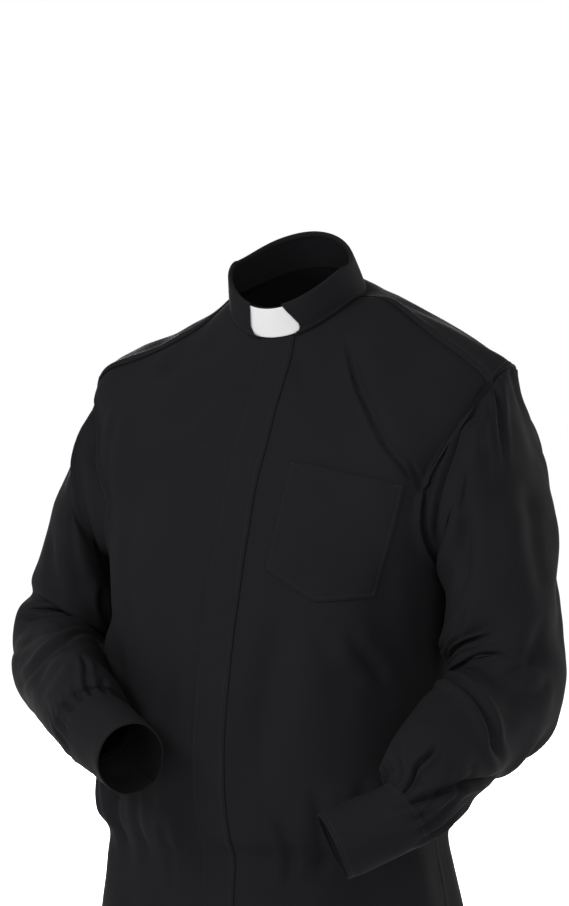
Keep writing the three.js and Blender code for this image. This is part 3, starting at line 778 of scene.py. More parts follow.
def spaced(length: float, pitch: float, marks: tuple[float, ...] = (), ends: tuple[bool, bool] = (True, True)) -> Array:
    """Places from 0 to 1 along a length, closer at marks measured in from its ends.

    Args:
        length: The length in millimetres.
        pitch: The usual step.
        marks: Distances in from an end that get a place of their own.
        ends: Whether the marks are used at the start and at the end.

    Returns:
        The sorted places.
    """
    reach = max(marks) + pitch * 0.8 if marks else 0.0
    low = reach if ends[0] and marks else 0.0
    high = length - (reach if ends[1] and marks else 0.0)
    count = max(2, int(round((high - low) / pitch)) + 1)
    places = [*np.linspace(low, high, count)]
    if marks and ends[0]:
        places += list(marks)
    if marks and ends[1]:
        places += [length - m for m in marks]
    return np.unique(np.round(np.array(places) / length, 7))


# Places in from an edge that carry its ridge and stitch groove: at a seam or hem, on the placket,
# on a cuff, on a sleeve's placket and on the collar
EDGE_MARKS = (0.0, 0.5, 1.3, 2.2, 3.4, 4.8, 6.2, 7.2, 8.0, 9.0, 10.5)
PLACKET_MARKS = (0.0, 0.5, 1.2, 2.2, 3.2, 4.2, 5.2, 6.2, 7.4, 9.0)
CUFF_MARKS = (0.0, 0.5, 1.3, 2.4, 3.6, 4.6, 5.4, 6.4, 8.0)
SLIT_MARKS = (0.0, 0.5, 1.3, 2.4, 3.2, 4.2)
COLLAR_MARKS = (0.0, 0.4, 1.1, 2.0, 3.2, 4.2, 5.0, 6.0, 8.0)


# ------------------------------------------------------------------ materials


class Value:
    """A socket in a node tree, with arithmetic."""

    def __init__(self, paint: "Paint", socket: bpy.types.NodeSocket) -> None:
        """Keeps the socket and the tree it is in."""
        self.paint, self.socket = paint, socket

    def _math(self, operation: str, *others: "Value | float") -> "Value":
        """Returns the result of a Math node on this value and others."""
        return self.paint.node("ShaderNodeMath", {"operation": operation}, dict(enumerate([self, *others])))

    def __add__(self, other: "Value | float") -> "Value":
        """Returns the sum."""
        return self._math("ADD", other)

    __radd__ = __add__

    def __mul__(self, other: "Value | float") -> "Value":
        """Returns the product."""
        return self._math("MULTIPLY", other)

    __rmul__ = __mul__

    def __sub__(self, other: "Value | float") -> "Value":
        """Returns the difference."""
        return self._math("SUBTRACT", other)

    def sine(self) -> "Value":
        """Returns the sine."""
        return self._math("SINE")


class Paint:
    """Builds one material's nodes."""

    def __init__(self, name: str) -> None:
        """Starts a material with an empty tree.

        Args:
            name: The material's name.
        """
        self.material = bpy.data.materials.new(name)
        self.material.use_nodes = True
        self.tree = self.material.node_tree
        self.tree.nodes.clear()

    def node(self, kind: str, settings: dict, inputs: dict, output: int | str = 0) -> Value:
        """Adds a node.

        Args:
            kind: The node's type.
            settings: Its own settings, set first; stops sets a colour ramp's stops.
            inputs: The values or links of its sockets, by name or place.
            output: Which output to return.

        Returns:
            The output.
        """
        made = self.tree.nodes.new(kind)
        for key, value in settings.items():
            if key == "stops":
                ramp = made.color_ramp
                while len(ramp.elements) < len(value):
                    ramp.elements.new(0.5)
                for element, (place, colour) in zip(ramp.elements, value):
                    element.position, element.color = place, colour
            else:
                setattr(made, key, value)
        for key, value in inputs.items():
            if isinstance(value, Value):
                self.tree.links.new(value.socket, made.inputs[key])
            else:
                made.inputs[key].default_value = value
        return Value(self, made.outputs[output])

    def place(self) -> Value:
        """Returns a point's place on its object."""
        return self.node("ShaderNodeTexCoord", {}, {}, "Object")

    def noise(self, place: Value, scale: float, detail: float) -> Value:
        """Returns a soft noise of the given scale and detail."""
        return self.node("ShaderNodeTexNoise", {}, {"Vector": place, "Scale": scale, "Detail": detail})

    def mix(self, share: Value, first: tuple, second: tuple) -> Value:
        """Returns a colour between two, the second where share is one."""
        return self.node("ShaderNodeMix", {"data_type": "RGBA"}, {0: share, 6: (*first, 1), 7: (*second, 1)}, 2)

    def close(self, **inputs: "Value | float | tuple") -> bpy.types.Material:
        """Ends the tree in a surface.

        Args:
            **inputs: The surface's sockets by name, with _ for each space.

        Returns:
            The finished material.
        """
        named = {key.replace("_", " "): value for key, value in inputs.items()}
        surface = self.node("ShaderNodeBsdfPrincipled", {}, named)
        output = self.tree.nodes.new("ShaderNodeOutputMaterial")
        self.tree.links.new(surface.socket, output.inputs["Surface"])
        return self.material


@dataclass(frozen=True)
class BlackCloth:
    """Smooth near-black poly-cotton: a fine weave, faint slubs and uneven sheen."""

    name: str = "black_cloth"
    colour: tuple[float, float, float] = (0.0029, 0.0028, 0.0033)
    worn: tuple[float, float, float] = (0.0045, 0.0044, 0.0050)
    roughness: float = 0.86
    specular: float = 0.04
    threads_per_metre: float = 3300.0
    weave_height: float = 0.00006

    def material(self) -> bpy.types.Material:
        """Returns the finished cloth."""
        paint = Paint(self.name)
        uv = paint.node("ShaderNodeTexCoord", {}, {}, "UV")
        place = paint.place()
        axes = paint.node("ShaderNodeSeparateXYZ", {}, {0: uv}).socket.node
        across, along = (Value(paint, axes.outputs[k]) for k in (0, 1))
        warp = (across * (self.threads_per_metre * math.pi)).sine()
        weft = (along * (self.threads_per_metre * math.pi)).sine()
        weave = warp * weft
        slub = paint.noise(place, 420.0, 3.0)
        cloud = paint.noise(place, 9.0, 4.0)
        height = weave * 0.35 + slub * 0.9
        bump = paint.node("ShaderNodeBump", {}, {"Height": height, "Strength": 0.35, "Distance": self.weave_height})
        stops = [(0.35, (0, 0, 0, 1)), (0.75, (1, 1, 1, 1))]
        mask = paint.node("ShaderNodeValToRGB", {"stops": stops}, {"Fac": cloud})
        colour = paint.mix(mask * 0.5 + slub * 0.25, self.colour, self.worn)
        rough = self.roughness + (cloud - 0.5) * 0.16
        return paint.close(Base_Color=colour, Roughness=rough, Normal=bump, Specular_IOR_Level=self.specular)


@dataclass(frozen=True)
class BlackThread:
    """Polyester sewing thread, a little glossier than the cloth, and painted lighter than it as a painted highlight
    along the stitch lines.
    """

    name: str = "black_thread"
    # Both colours are the thread's own black lifted lighter than the cloth, a painted highlight along the stitches;
    # worn is not wear but a still lighter tone of that painted highlight, which the twist mixes in at random
    colour: tuple[float, float, float] = (0.0045, 0.0044, 0.0052)
    worn: tuple[float, float, float] = (0.0068, 0.0066, 0.0078)
    roughness: float = 0.6
    specular: float = 0.16

    def material(self) -> bpy.types.Material:
        """Returns the finished thread."""
        paint = Paint(self.name)
        place = paint.place()
        twist = paint.noise(place, 1600.0, 1.0)
        colour = paint.mix(twist, self.colour, self.worn)
        return paint.close(Base_Color=colour, Roughness=self.roughness, Specular_IOR_Level=self.specular)


@dataclass(frozen=True)
class WhiteTab:
    """Smooth white plastic with a faint satin grain."""

    name: str = "white_tab"
    colour: tuple[float, float, float] = (0.27, 0.268, 0.272)
    soiled: tuple[float, float, float] = (0.245, 0.243, 0.246)
    roughness: float = 0.38
    specular: float = 0.32
    grain_height: float = 0.00004

    def material(self) -> bpy.types.Material:
        """Returns the finished plastic."""
        paint = Paint(self.name)
        place = paint.place()
        grain = paint.noise(place, 700.0, 2.0)
        soil = paint.noise(place, 22.0, 3.0)
        bump = paint.node("ShaderNodeBump", {}, {"Height": grain, "Strength": 0.15, "Distance": self.grain_height})
        colour = paint.mix(soil * 0.3, self.colour, self.soiled)
        rough = self.roughness + (grain - 0.5) * 0.1
        return paint.close(Base_Color=colour, Roughness=rough, Normal=bump, Specular_IOR_Level=self.specular)


@dataclass(frozen=True)
class BlackButton:
    """Moulded black button with soft mottling."""

    name: str = "black_button"
    colour: tuple[float, float, float] = (0.006, 0.006, 0.0065)
    pale: tuple[float, float, float] = (0.011, 0.011, 0.012)
    roughness: float = 0.34
    specular: float = 0.3

    def material(self) -> bpy.types.Material:
        """Returns the finished button."""
        paint = Paint(self.name)
        place = paint.place()
        mottle = paint.noise(place, 260.0, 3.0)
        colour = paint.mix(mottle, self.colour, self.pale)
        rough = self.roughness + mottle * 0.1
        return paint.close(Base_Color=colour, Roughness=rough, Specular_IOR_Level=self.specular)


@dataclass(frozen=True)
class Studio:
    """A plain pale floor, soft light and the camera at the photograph's angle."""

    floor_z: float = -0.80
    floor_half: float = 14.0
    floor_glow: float = 0.1
    azimuth: float = 28.0
    elevation: float = 1.0
    distance: float = 3.0
    right: float = 0.0142
    up: float = 0.16065
    lens: float = 113.5
    sensor: float = 36.0
    sky: float = 1.0
    # Name, place, aim, side and power of each soft light, in metres and watts
    lamps: tuple[tuple, ...] = (
        ("key", (-1.5, -2.7, 1.7), (0, 0, -0.2), 1.2, 166), ("front", (2.1, -2.9, 0.5), (0, 0, -0.3), 1.6, 96),
        ("rim", (2.6, 0.6, 1.4), (0, 0, -0.2), 1.2, 5), ("back", (-1.7, 2.7, 0.5), (0, 0, -0.3), 1.6, 128),
        ("back_fill", (1.9, 2.6, 0.1), (0, 0, -0.4), 1.6, 62),
    )

    def build(self) -> None:
        """Makes the camera, the lights, the sky and the floor."""
        az, el = math.radians(self.azimuth), math.radians(self.elevation)
        right = Vector((math.cos(az), math.sin(az), 0))
        back = Vector((math.sin(az) * math.cos(el), -math.cos(az) * math.cos(el), math.sin(el)))
        up = back.cross(right)
        eye = back * self.distance - right * self.right - up * self.up
        data = bpy.data.cameras.new("camera")
        data.lens, data.sensor_width, data.sensor_fit = self.lens, self.sensor, "AUTO"
        camera = add_object("camera", data)
        camera.matrix_world = Matrix.Translation(eye) @ Matrix((right, up, back)).transposed().to_4x4()
        bpy.context.scene.camera = camera
        bpy.context.scene.view_settings.view_transform = "Standard"
        world = bpy.data.worlds.new("sky")
        world.use_nodes = True
        sky = world.node_tree.nodes["Background"].inputs
        sky["Color"].default_value, sky["Strength"].default_value = (1, 1, 1, 1), self.sky
        bpy.context.scene.world = world
        for lamp in self.lamps:
            self._lamp(*lamp)
        self._floor()

    def _lamp(self, name: str, place: tuple, aim: tuple, size: float, power: float) -> None:
        """Adds a square soft light.

        Args:
            name: The light's name.
            place: Where it stands, in metres.
            aim: What it is turned to.
            size: Its side in metres.
            power: Its power in watts.
        """
        data = bpy.data.lights.new(name, "AREA")
        data.size, data.energy = size, power
        lamp = add_object(name, data)
        lamp.location = place
        lamp.rotation_mode = "QUATERNION"
        lamp.rotation_quaternion = (Vector(place) - Vector(aim)).to_track_quat("Z", "Y")

    def _floor(self) -> None:
        """Lays the pale floor."""
        half, z = self.floor_half, self.floor_z
        mesh = bpy.data.meshes.new("floor")
        mesh.from_pydata([(-half, -half, z), (half, -half, z), (half, half, z), (-half, half, z)], [], [(0, 1, 2, 3)])
        paint = Paint("pale_floor")
        colour = paint.mix(paint.noise(paint.place(), 0.8, 2.0), (0.9, 0.9, 0.9), (0.93, 0.93, 0.93))
        mesh.materials.append(paint.close(Base_Color=colour, Roughness=0.8, Emission_Color=(1, 1, 1, 1),
                                          Emission_Strength=self.floor_glow))
        add_object("floor", mesh)


# ------------------------------------------------------------------ stitches


@dataclass
class StitchLine:
    """A line of stitches on the cloth, its path and the cloth's normals along it."""

    points: Array
    normals: Array
    pitch: float = 2.6
    length: float = 1.9
    radius: float = 0.2
    closed: bool = False


class Stitcher:
    """Sews stitch lines with one Geometry Nodes tree."""

    def __init__(self, finish: bpy.types.Material) -> None:
        """Builds the tree that all lines share."""
        self.finish = finish
        self.tree = self._tree()

    def _tree(self) -> bpy.types.NodeTree:
        """Returns a tree that sets a small rounded stitch along each edge of its mesh."""
        tree = bpy.data.node_groups.new("sew", "GeometryNodeTree")
        tree.interface.new_socket("Geometry", in_out="INPUT", socket_type="NodeSocketGeometry")
        for name, value in (("Pitch", 0.0026), ("Length", 0.0019), ("Radius", 0.00024)):
            made = tree.interface.new_socket(name, in_out="INPUT", socket_type="NodeSocketFloat")
            made.default_value = value
        tree.interface.new_socket("Geometry", in_out="OUTPUT", socket_type="NodeSocketGeometry")
        nodes = tree.nodes
        start, end = nodes.new("NodeGroupInput"), nodes.new("NodeGroupOutput")
        curve = nodes.new("GeometryNodeMeshToCurve")
        even = nodes.new("GeometryNodeResampleCurve")
        even.mode = "LENGTH"
        stitch = nodes.new("GeometryNodeMeshCylinder")
        stitch.inputs["Vertices"].default_value = 6
        stitch.inputs["Side Segments"].default_value = 2
        bend = nodes.new("GeometryNodeSetPosition")
        place, split = nodes.new("GeometryNodeInputPosition"), nodes.new("ShaderNodeSeparateXYZ")
        squeeze, mix = nodes.new("ShaderNodeMath"), nodes.new("ShaderNodeCombineXYZ")
        tip = nodes.new("ShaderNodeMath")
        point = nodes.new("GeometryNodeInstanceOnPoints")
        turn = nodes.new("FunctionNodeAlignRotationToVector")
        turn.axis = "Z"
        tangent = nodes.new("GeometryNodeInputTangent")
        real = nodes.new("GeometryNodeRealizeInstances")
        dress = nodes.new("GeometryNodeSetMaterial")
        dress.inputs["Material"].default_value = self.finish
        squeeze.operation, tip.operation = "ABSOLUTE", "MULTIPLY"
        tip.inputs[1].default_value = -0.22
        for giver, output, taker, socket in (
                (start, "Geometry", curve, "Mesh"), (curve, "Curve", even, "Curve"), (start, "Pitch", even, "Length"),
                (start, "Length", stitch, "Depth"), (start, "Radius", stitch, "Radius"), (place, 0, split, 0),
                (split, "Z", squeeze, 0), (squeeze, 0, tip, 0), (tip, 0, mix, "X"),
                (stitch, "Mesh", bend, "Geometry"), (mix, 0, bend, "Offset"), (even, "Curve", point, "Points"),
                (bend, "Geometry", point, "Instance"), (tangent, 0, turn, "Vector"), (turn, 0, point, "Rotation"),
                (point, "Instances", real, "Geometry"), (real, "Geometry", dress, "Geometry"),
                (dress, "Geometry", end, "Geometry")):
            tree.links.new(giver.outputs[output], taker.inputs[socket])
        return tree

    def sew(self, name: str, lines: list[StitchLine]) -> bpy.types.Object:
        """Sews lines into one piece.

        Args:
            name: The piece's name.
            lines: The lines, all with the same stitch.

        Returns:
            The stitches as one plain mesh object that rides on the root body.
        """
        verts, edges = [], []
        for line in lines:
            first = len(verts)
            raised = (line.points + line.normals * line.radius * 0.55) * MM
            verts += [tuple(p) for p in raised]
            edges += [(first + k, first + k + 1) for k in range(len(raised) - 1)]
            if line.closed:
                edges.append((first + len(raised) - 1, first))
        mesh = bpy.data.meshes.new(name + "_path")
        mesh.from_pydata(verts, edges, [])
        path = add_object(name + "_path", mesh)
        modifier = path.modifiers.new("sew", "NODES")
        modifier.node_group = self.tree
        sizes = {"Pitch": lines[0].pitch, "Length": lines[0].length, "Radius": lines[0].radius}
        for item in self.tree.interface.items_tree:
            if item.item_type == "SOCKET" and item.in_out == "INPUT" and item.name in sizes:
                modifier[item.identifier] = sizes[item.name] * MM
        bpy.context.view_layer.update()
        graph = bpy.context.evaluated_depsgraph_get()
        made = bpy.data.meshes.new_from_object(path.evaluated_get(graph))
        made.name = name
        bpy.data.objects.remove(path)
        piece = add_object(name, made)
        shade_smooth(made)
        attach(piece, "root")
        return piece


# ------------------------------------------------------------------ the shirt's sub-assemblies


@dataclass
class Finishes:
    """The materials that every sub-assembly uses."""

    cloth: bpy.types.Material
    thread: bpy.types.Material
    tab: bpy.types.Material
    button: bpy.types.Material


class Held(Enum):
    """How a sheet of cloth is held."""

    GATHERED = "gathered"
    HUNG = "hung"
    STRETCHED = "stretched"


@dataclass
class SubAssembly:
    """What every sub-assembly shares."""

    finishes: Finishes
    stitcher: Stitcher

    def cloth(self, shell: Shell, node: str, flat: tuple[float, float], held: Held = Held.HUNG,
              rests_on: tuple[str, ...] = (), finish: bpy.types.Material | None = None,
              slot: str = "black_cloth") -> bpy.types.Object:
        """Builds a shell that stands for a CAD node.

        Args:
            shell: The wall to build.
            node: The node it replaces.
            flat: The width and length of its cut, in metres.
            held: How the sheet is held; not used.
            rests_on: What it hangs from or lies on; not used.
            finish: Its material, or the black cloth.
            slot: The record's slot; not used.

        Returns:
            The piece.
        """
        piece = shell.build()
        piece.data.materials.append(finish or self.finishes.cloth)
        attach(piece, "root")
        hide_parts(node)
        area = self._area(shell)
        whole = flat[0] * flat[1]
        float(np.clip(area, 0.31 * whole, whole))
        LOG.info("%s: %d faces, %.4f square metres", piece.name, len(piece.data.polygons), area)
        return piece

    def _sew(self, shell: Shell, distance: Array, value: float, axis: int, keep: slice = slice(None)) -> None:
        """Adds a stitch line where a distance has a value.

        Args:
            shell: The wall that is sewn.
            distance: The grid of distances.
            value: The distance wanted.
            axis: 1 to find one place on each row, 0 on each column.
            keep: Which of those places to sew.
        """
        points, normals = line_at(shell, distance, value, axis)
        self.lines.append(StitchLine(points[keep], normals[keep]))

    def _sew_sides(self, shell: Shell, points: Array, inset: float, sides: tuple[tuple[int, bool], ...],
                   keep: slice = slice(None)) -> None:
        """Adds a stitch line in from each of some sides of a shell.

        Args:
            shell: The wall that is sewn.
            points: The grid that the inset is measured on.
            inset: How far in the stitches run.
            sides: The axis of each side, as in line_at, and whether it is the far one.
            keep: Which places along it to sew.
        """
        for axis, far in sides:
            self._sew(shell, lengths_in(points, axis, far), inset, axis, keep)

    @staticmethod
    def _area(shell: Shell) -> float:
        """Measures a shell.

        Args:
            shell: The wall.

        Returns:
            Its outer area in square metres.
        """
        p = shell.points * MM
        if shell.closed:
            p = np.concatenate([p, p[:, :1]], axis=1)
        a = np.cross(p[1:, :-1] - p[:-1, :-1], p[:-1, 1:] - p[:-1, :-1])
        b = np.cross(p[1:, :-1] - p[1:, 1:], p[:-1, 1:] - p[1:, 1:])
        return float((np.linalg.norm(a, axis=-1) + np.linalg.norm(b, axis=-1)).sum() / 2)


def lengths_in(points: Array, axis: int, from_end: bool = False) -> Array:
    """Measures each grid point's distance along its line from the line's start or end.

    Args:
        points: A grid of points.
        axis: 0 to measure down the columns, 1 to measure along the rows.
        from_end: Whether to measure from the far end.

    Returns:
        The distances in millimetres, a grid.
    """
    steps = np.linalg.norm(np.diff(points, axis=axis), axis=-1)
    zero = np.zeros_like(np.take(steps, [0], axis=axis))
    run = np.concatenate([zero, np.cumsum(steps, axis=axis)], axis=axis)
    return np.take(run, [-1], axis=axis) - run if from_end else run


def from_ends(points: Array, axis: int) -> Array:
    """Returns each grid point's distance from the nearer end of its line."""
    return np.minimum(lengths_in(points, axis), lengths_in(points, axis, True))


def line_at(shell: Shell, distance: Array, value: float, axis: int) -> tuple[Array, Array]:
    """Finds the line of a grid where a distance has a value.

    Args:
        shell: The wall whose outer side carries the line.
        distance: The grid of distances, rising or falling along the axis.
        value: The distance wanted.
        axis: 1 to find one place on each row, 0 on each column.

    Returns:
        The points and normals along the line.
    """
    points, normals, grid = shell.points, shell.normals, distance
    if axis == 0:
        points, normals, grid = points.swapaxes(0, 1), normals.swapaxes(0, 1), grid.T
    out_p, out_n = [], []
    for row_p, row_n, row_d in zip(points, normals, grid):
        order = np.argsort(row_d)
        out_p.append([np.interp(value, row_d[order], row_p[order, k]) for k in range(3)])
        out_n.append([np.interp(value, row_d[order], row_n[order, k]) for k in range(3)])
    return np.array(out_p), unit(np.array(out_n))


def seam_ridge(distance: Array, points: Array, seed: int) -> Array:
    """Shapes the raised allowance, stitch groove and slight pucker beside a seam.

    Args:
        distance: The distance in from the seam.
        points: The places there.
        seed: Fixes the pucker.

    Returns:
        The lift in millimetres.
    """
    rise = SEAM_RISE * (1 - smooth(distance, 6.4, 8.6)) * smooth(distance, -0.5, 0.9)
    groove = -0.32 * hump(distance, SEAM_STITCH, 0.8)
    pucker = 0.30 * hump(distance, 8.5, 6.5) * waves(points, 15, seed)
    return rise + groove + pucker


@dataclass
class Torso(SubAssembly):
    """The two fronts, the back, the yoke, the covered placket and the chest pocket."""

    form: BodyForm
    pitch: float = 3.0
    yoke_neck_turn: float = 88.0
    yoke_bow: float = 8.0
    # The share of the yoke's outer edge, from each front corner, that runs along the armhole
    yoke_arm: float = 0.2
    placket_width: float = 38.0
    # How far in each layer's stitches run, and how far its outer side stands out from the body's form
    placket_stitch: float = 4.8
    pocket_stitch: float = 4.4
    placket_lift: float = 1.75
    pocket_lift: float = 1.9
    hem_turn: float = 7.0
    hem_doubled: float = 0.7
    # How far the cloth puffs up beside its stitched seams
    armhole_swell: float = 3.6
    yoke_swell: float = 2.4
    # Rows of the right and the left front beside the yoke's seam and beside the armhole
    shoulder_rows: tuple[int, int] = (58, 116)
    armhole_rows: tuple[int, int] = (84, 100)
    pocket: dict[str, tuple[float, float]] = field(default_factory=lambda: {
        "top_inner": (51, -166), "top_outer": (172, -190), "bottom_inner": (44, -274),
        "bottom_outer": (151, -301), "point": (99, -305)})
    lines: list[StitchLine] = field(default_factory=list)

    def build(self) -> None:
        """Builds every piece of the torso and sews it."""
        for name, side in (("front_left", 1), ("front_right", -1)):
            self._front(name, side)
        self._back()
        self._yoke()
        self._placket()
        self._pocket()
        self.stitcher.sew("torso_stitches", self.lines)

    def _bow(self, f: Array) -> Array:
        """Returns how far the yoke's front seam bows forward."""
        return self.yoke_bow * 4 * f * (1 - f)

    def _front(self, name: str, side: int) -> None:
        """Builds one front, from the yoke seam and armhole to the hem.

        Args:
            name: The front's node.
            side: 1 for the wearer's left and -1 for the right.
        """
        hole = self.form.armhole
        end_turn, end_level = self.form.armhole_at(np.array(hole.seam_front), side)
        # The left front carries the finest creases in the photograph, so its grid is finer
        fine = side > 0
        f = np.linspace(0, 1, self.shoulder_rows[fine])
        alphas = np.linspace(hole.seam_front, 180, self.armhole_rows[fine])[1:]
        arm_turn, arm_level = self.form.armhole_at(alphas, side)
        low = spaced(470, 4.1 if fine else self.pitch, EDGE_MARKS, (False, True))[1:]
        low = hole.bottom + (HEM - hole.bottom) * low
        shoulder = self.yoke_neck_turn + (end_turn - self.yoke_neck_turn) * f - self._bow(f)
        turn = np.concatenate([shoulder, arm_turn, np.full(len(low), 90.0)])
        level = np.concatenate([end_level * f, arm_level, low])
        under = np.concatenate([1 - smooth(f, 0.93, 1.0), np.zeros(len(alphas) + len(low))])
        inner = self.form.turn_of_gap(SEAM_GAP, level)
        outer = turn + self.form.turn_of_gap(UNDERLAP, level) * under - inner * (1 - under)
        share = spaced(200, 1.55 if fine else 2.4, EDGE_MARKS, (False, True))
        turns = inner[:, None] + (outer - inner)[:, None] * share
        levels = np.broadcast_to(level[:, None], turns.shape)
        plain = self.form.plain(side * turns, levels)
        edge = lengths_in(plain, 1, True)
        hem = lengths_in(plain, 0, True)
        open_edge = (1 - under)[:, None]
        below = under[:, None] * (1 - smooth(edge, UNDERLAP + 1, UNDERLAP + 5))
        lift = open_edge * seam_ridge(edge, plain, 31) - UNDER_DROP * below
        swell = smooth(alphas, hole.seam_front, 45) * (1 - smooth(alphas, 120, 165))
        at_arm = np.concatenate([np.zeros(len(f)), swell, np.zeros(len(low))])[:, None]
        lift = lift + self.armhole_swell * at_arm * hump(edge, 6.0, 5.0)
        lift = lift + self._hem_lift(hem, plain)
        points, normals = self.form.skin(side * turns, levels, lift)
        shell = Shell(name + "_cloth", points, normals, self._hem_thick(hem))
        self.cloth(shell, name, (0.30, 0.80))
        self._sew(shell, edge, SEAM_STITCH, 1, slice(len(f), None))
        self._sew(shell, hem, self.hem_turn - 0.7, 0)

    def _hem_lift(self, hem: Array, points: Array) -> Array:
        """Returns the rolled hem's shape above its edge."""
        rise = 0.35 * (1 - smooth(hem, self.hem_turn, self.hem_turn + 1.5))
        return rise + 0.5 * hump(hem, 0, 22) * waves(points, 26, 41)

    def _hem_thick(self, hem: Array) -> Array:
        """Returns the cloth's thickness, doubled over within the hem."""
        return CLOTH + self.hem_doubled * (1 - smooth(hem, self.hem_turn, self.hem_turn + 1))

    def _back(self) -> None:
        """Builds the back, from the yoke's seam to the hem."""
        hole = self.form.armhole
        alphas = np.linspace(-hole.seam_back, -180, 66)
        low = hole.bottom + (HEM - hole.bottom) * spaced(500, self.pitch, EDGE_MARKS, (False, True))[1:]
        sides = []
        for side in (1, -1):
            arm_turn, arm_level = self.form.armhole_at(alphas, side)
            sides.append(np.concatenate([arm_turn, np.full(len(low), 90.0)]))
        level = np.concatenate([arm_level, low])
        lead = np.array([level[0] - UNDERLAP / 45, level[0] - UNDERLAP / 90])
        level = np.concatenate([lead, level])
        left, right = (np.concatenate([[s[0], s[0]], s]) for s in sides)
        side_row = smooth(level, hole.bottom - 0.05, hole.bottom)
        reach = self.form.turn_of_gap(UNDERLAP, level) * side_row
        gap = self.form.turn_of_gap(SEAM_GAP, level) * (1 - side_row)
        start, stop = left - reach + gap, 360 - right + reach - gap
        share = spaced(400, self.pitch, EDGE_MARKS)
        turns = start[:, None] + (stop - start)[:, None] * share
        levels = np.broadcast_to(level[:, None], turns.shape)
        plain = self.form.plain(turns, levels)
        ends = from_ends(plain, 1)
        top, hem = lengths_in(plain, 0), lengths_in(plain, 0, True)
        arm = (1 - side_row)[:, None]
        below = (1 - arm) * (1 - smooth(ends, UNDERLAP + 1, UNDERLAP + 5))
        lift = arm * seam_ridge(ends, plain, 33) - UNDER_DROP * below
        lift = lift - UNDER_DROP * (1 - smooth(top, UNDERLAP + 1, UNDERLAP + 4)) - arm * SEAM_RISE * (
            1 - smooth(top, UNDERLAP, UNDERLAP + 6)) * (1 - smooth(ends, 7, 9))
        lift = lift + self._hem_lift(hem, plain)
        points, normals = self.form.skin(turns, levels, lift)
        shell = Shell("back_cloth", points, normals, self._hem_thick(hem))
        self.cloth(shell, "back", (0.56, 0.74))
        rows = slice(3, int(np.argmax(level > hole.bottom)))
        self._sew_sides(shell, plain, SEAM_STITCH, BOTH_ENDS, rows)
        self._sew(shell, hem, self.hem_turn - 0.7, 0)

    def _yoke(self) -> None:
        """Builds the yoke, from the neck seam to the armholes and the back's seam."""
        hole = self.form.armhole
        share = spaced(750, 4.0, EDGE_MARKS)
        turn, level = np.zeros(len(share)), np.zeros(len(share))
        corner_turn, corner_level = {}, {}
        for side in (1, -1):
            corner_turn[side], corner_level[side] = self.form.armhole_at(np.array(-hole.seam_back), side)
        for k, e in enumerate(share):
            side = 1 if e <= 0.5 else -1
            near = e if side > 0 else 1 - e
            if near < self.yoke_arm:
                at = hole.seam_front - (hole.seam_front + hole.seam_back) * near / self.yoke_arm
                t, lv = self.form.armhole_at(np.array(at), side)
            else:
                rest = (near - self.yoke_arm) / (0.5 - self.yoke_arm)
                t = corner_turn[side] + (180 - corner_turn[side]) * rest
                lv = corner_level[side]
            turn[k], level[k] = (t if side > 0 else 360 - t), lv
        f = spaced(130, 3.4, EDGE_MARKS, (False, True))
        neck = self.yoke_neck_turn + (360 - 2 * self.yoke_neck_turn) * share
        fade = np.maximum(0, 1 - share / self.yoke_arm) - np.maximum(0, 1 - (1 - share) / self.yoke_arm)
        levels = level[None, :] * f[:, None]
        turns = neck + (turn - neck) * f[:, None] - self._bow(f)[:, None] * fade
        plain = self.form.plain(turns, levels)
        seam = from_ends(plain, 1)
        rim = lengths_in(plain, 0, True)
        lift = np.maximum(seam_ridge(seam, plain, 35), seam_ridge(rim, plain, 36)) + 0.1
        lift = lift + self.yoke_swell * hump(seam, 6.5, 6.0) * smooth(f, 0.1, 0.3)[:, None]
        points, normals = self.form.skin(turns, levels, lift)
        shell = Shell("yoke_cloth", points, normals)
        self.cloth(shell, "yoke", (0.56, 0.22), Held.STRETCHED)
        rows = slice(4, None)
        self._sew_sides(shell, plain, SEAM_STITCH, BOTH_ENDS, rows)
        self._sew(shell, rim, SEAM_STITCH, 0)

    def _placket(self) -> None:
        """Builds the covered placket, stitched down both sides."""
        levels = 0.05 + (HEM - 0.15) * spaced(700, self.pitch)
        half = self.form.turn_of_width(self.placket_width / 2, levels)
        across = spaced(self.placket_width, 2.6, PLACKET_MARKS) * 2 - 1
        turns = half[:, None] * across
        grid = np.broadcast_to(levels[:, None], turns.shape)
        edge = (1 - np.abs(across))[None, :] * self.placket_width / 2
        plain = self.form.plain(turns, grid)
        round_off = -0.55 * (1 - smooth(edge, 0, 2.2))
        puff = 0.35 * hump(edge, 2.6, 1.6)
        groove = -0.45 * hump(edge, self.placket_stitch, 0.8)
        swell = 0.5 * smooth(edge, 6, 14) + 0.35 * waves(plain, 60, 51, (1, 1, 1.4))
        lift = self.placket_lift + round_off + puff + groove + swell * smooth(edge, 5, 9)
        points, normals = self.form.skin(turns, grid, lift)
        shell = Shell("placket_cloth", points, normals, 0.9)
        self.cloth(shell, "placket", (0.045, 0.74), rests_on=("front_left_cloth", "front_right_cloth"))
        for sign in (1, -1):
            far = np.broadcast_to((1 - sign * across) * self.placket_width / 2, turns.shape)
            self._sew(shell, far, self.placket_stitch, 1)

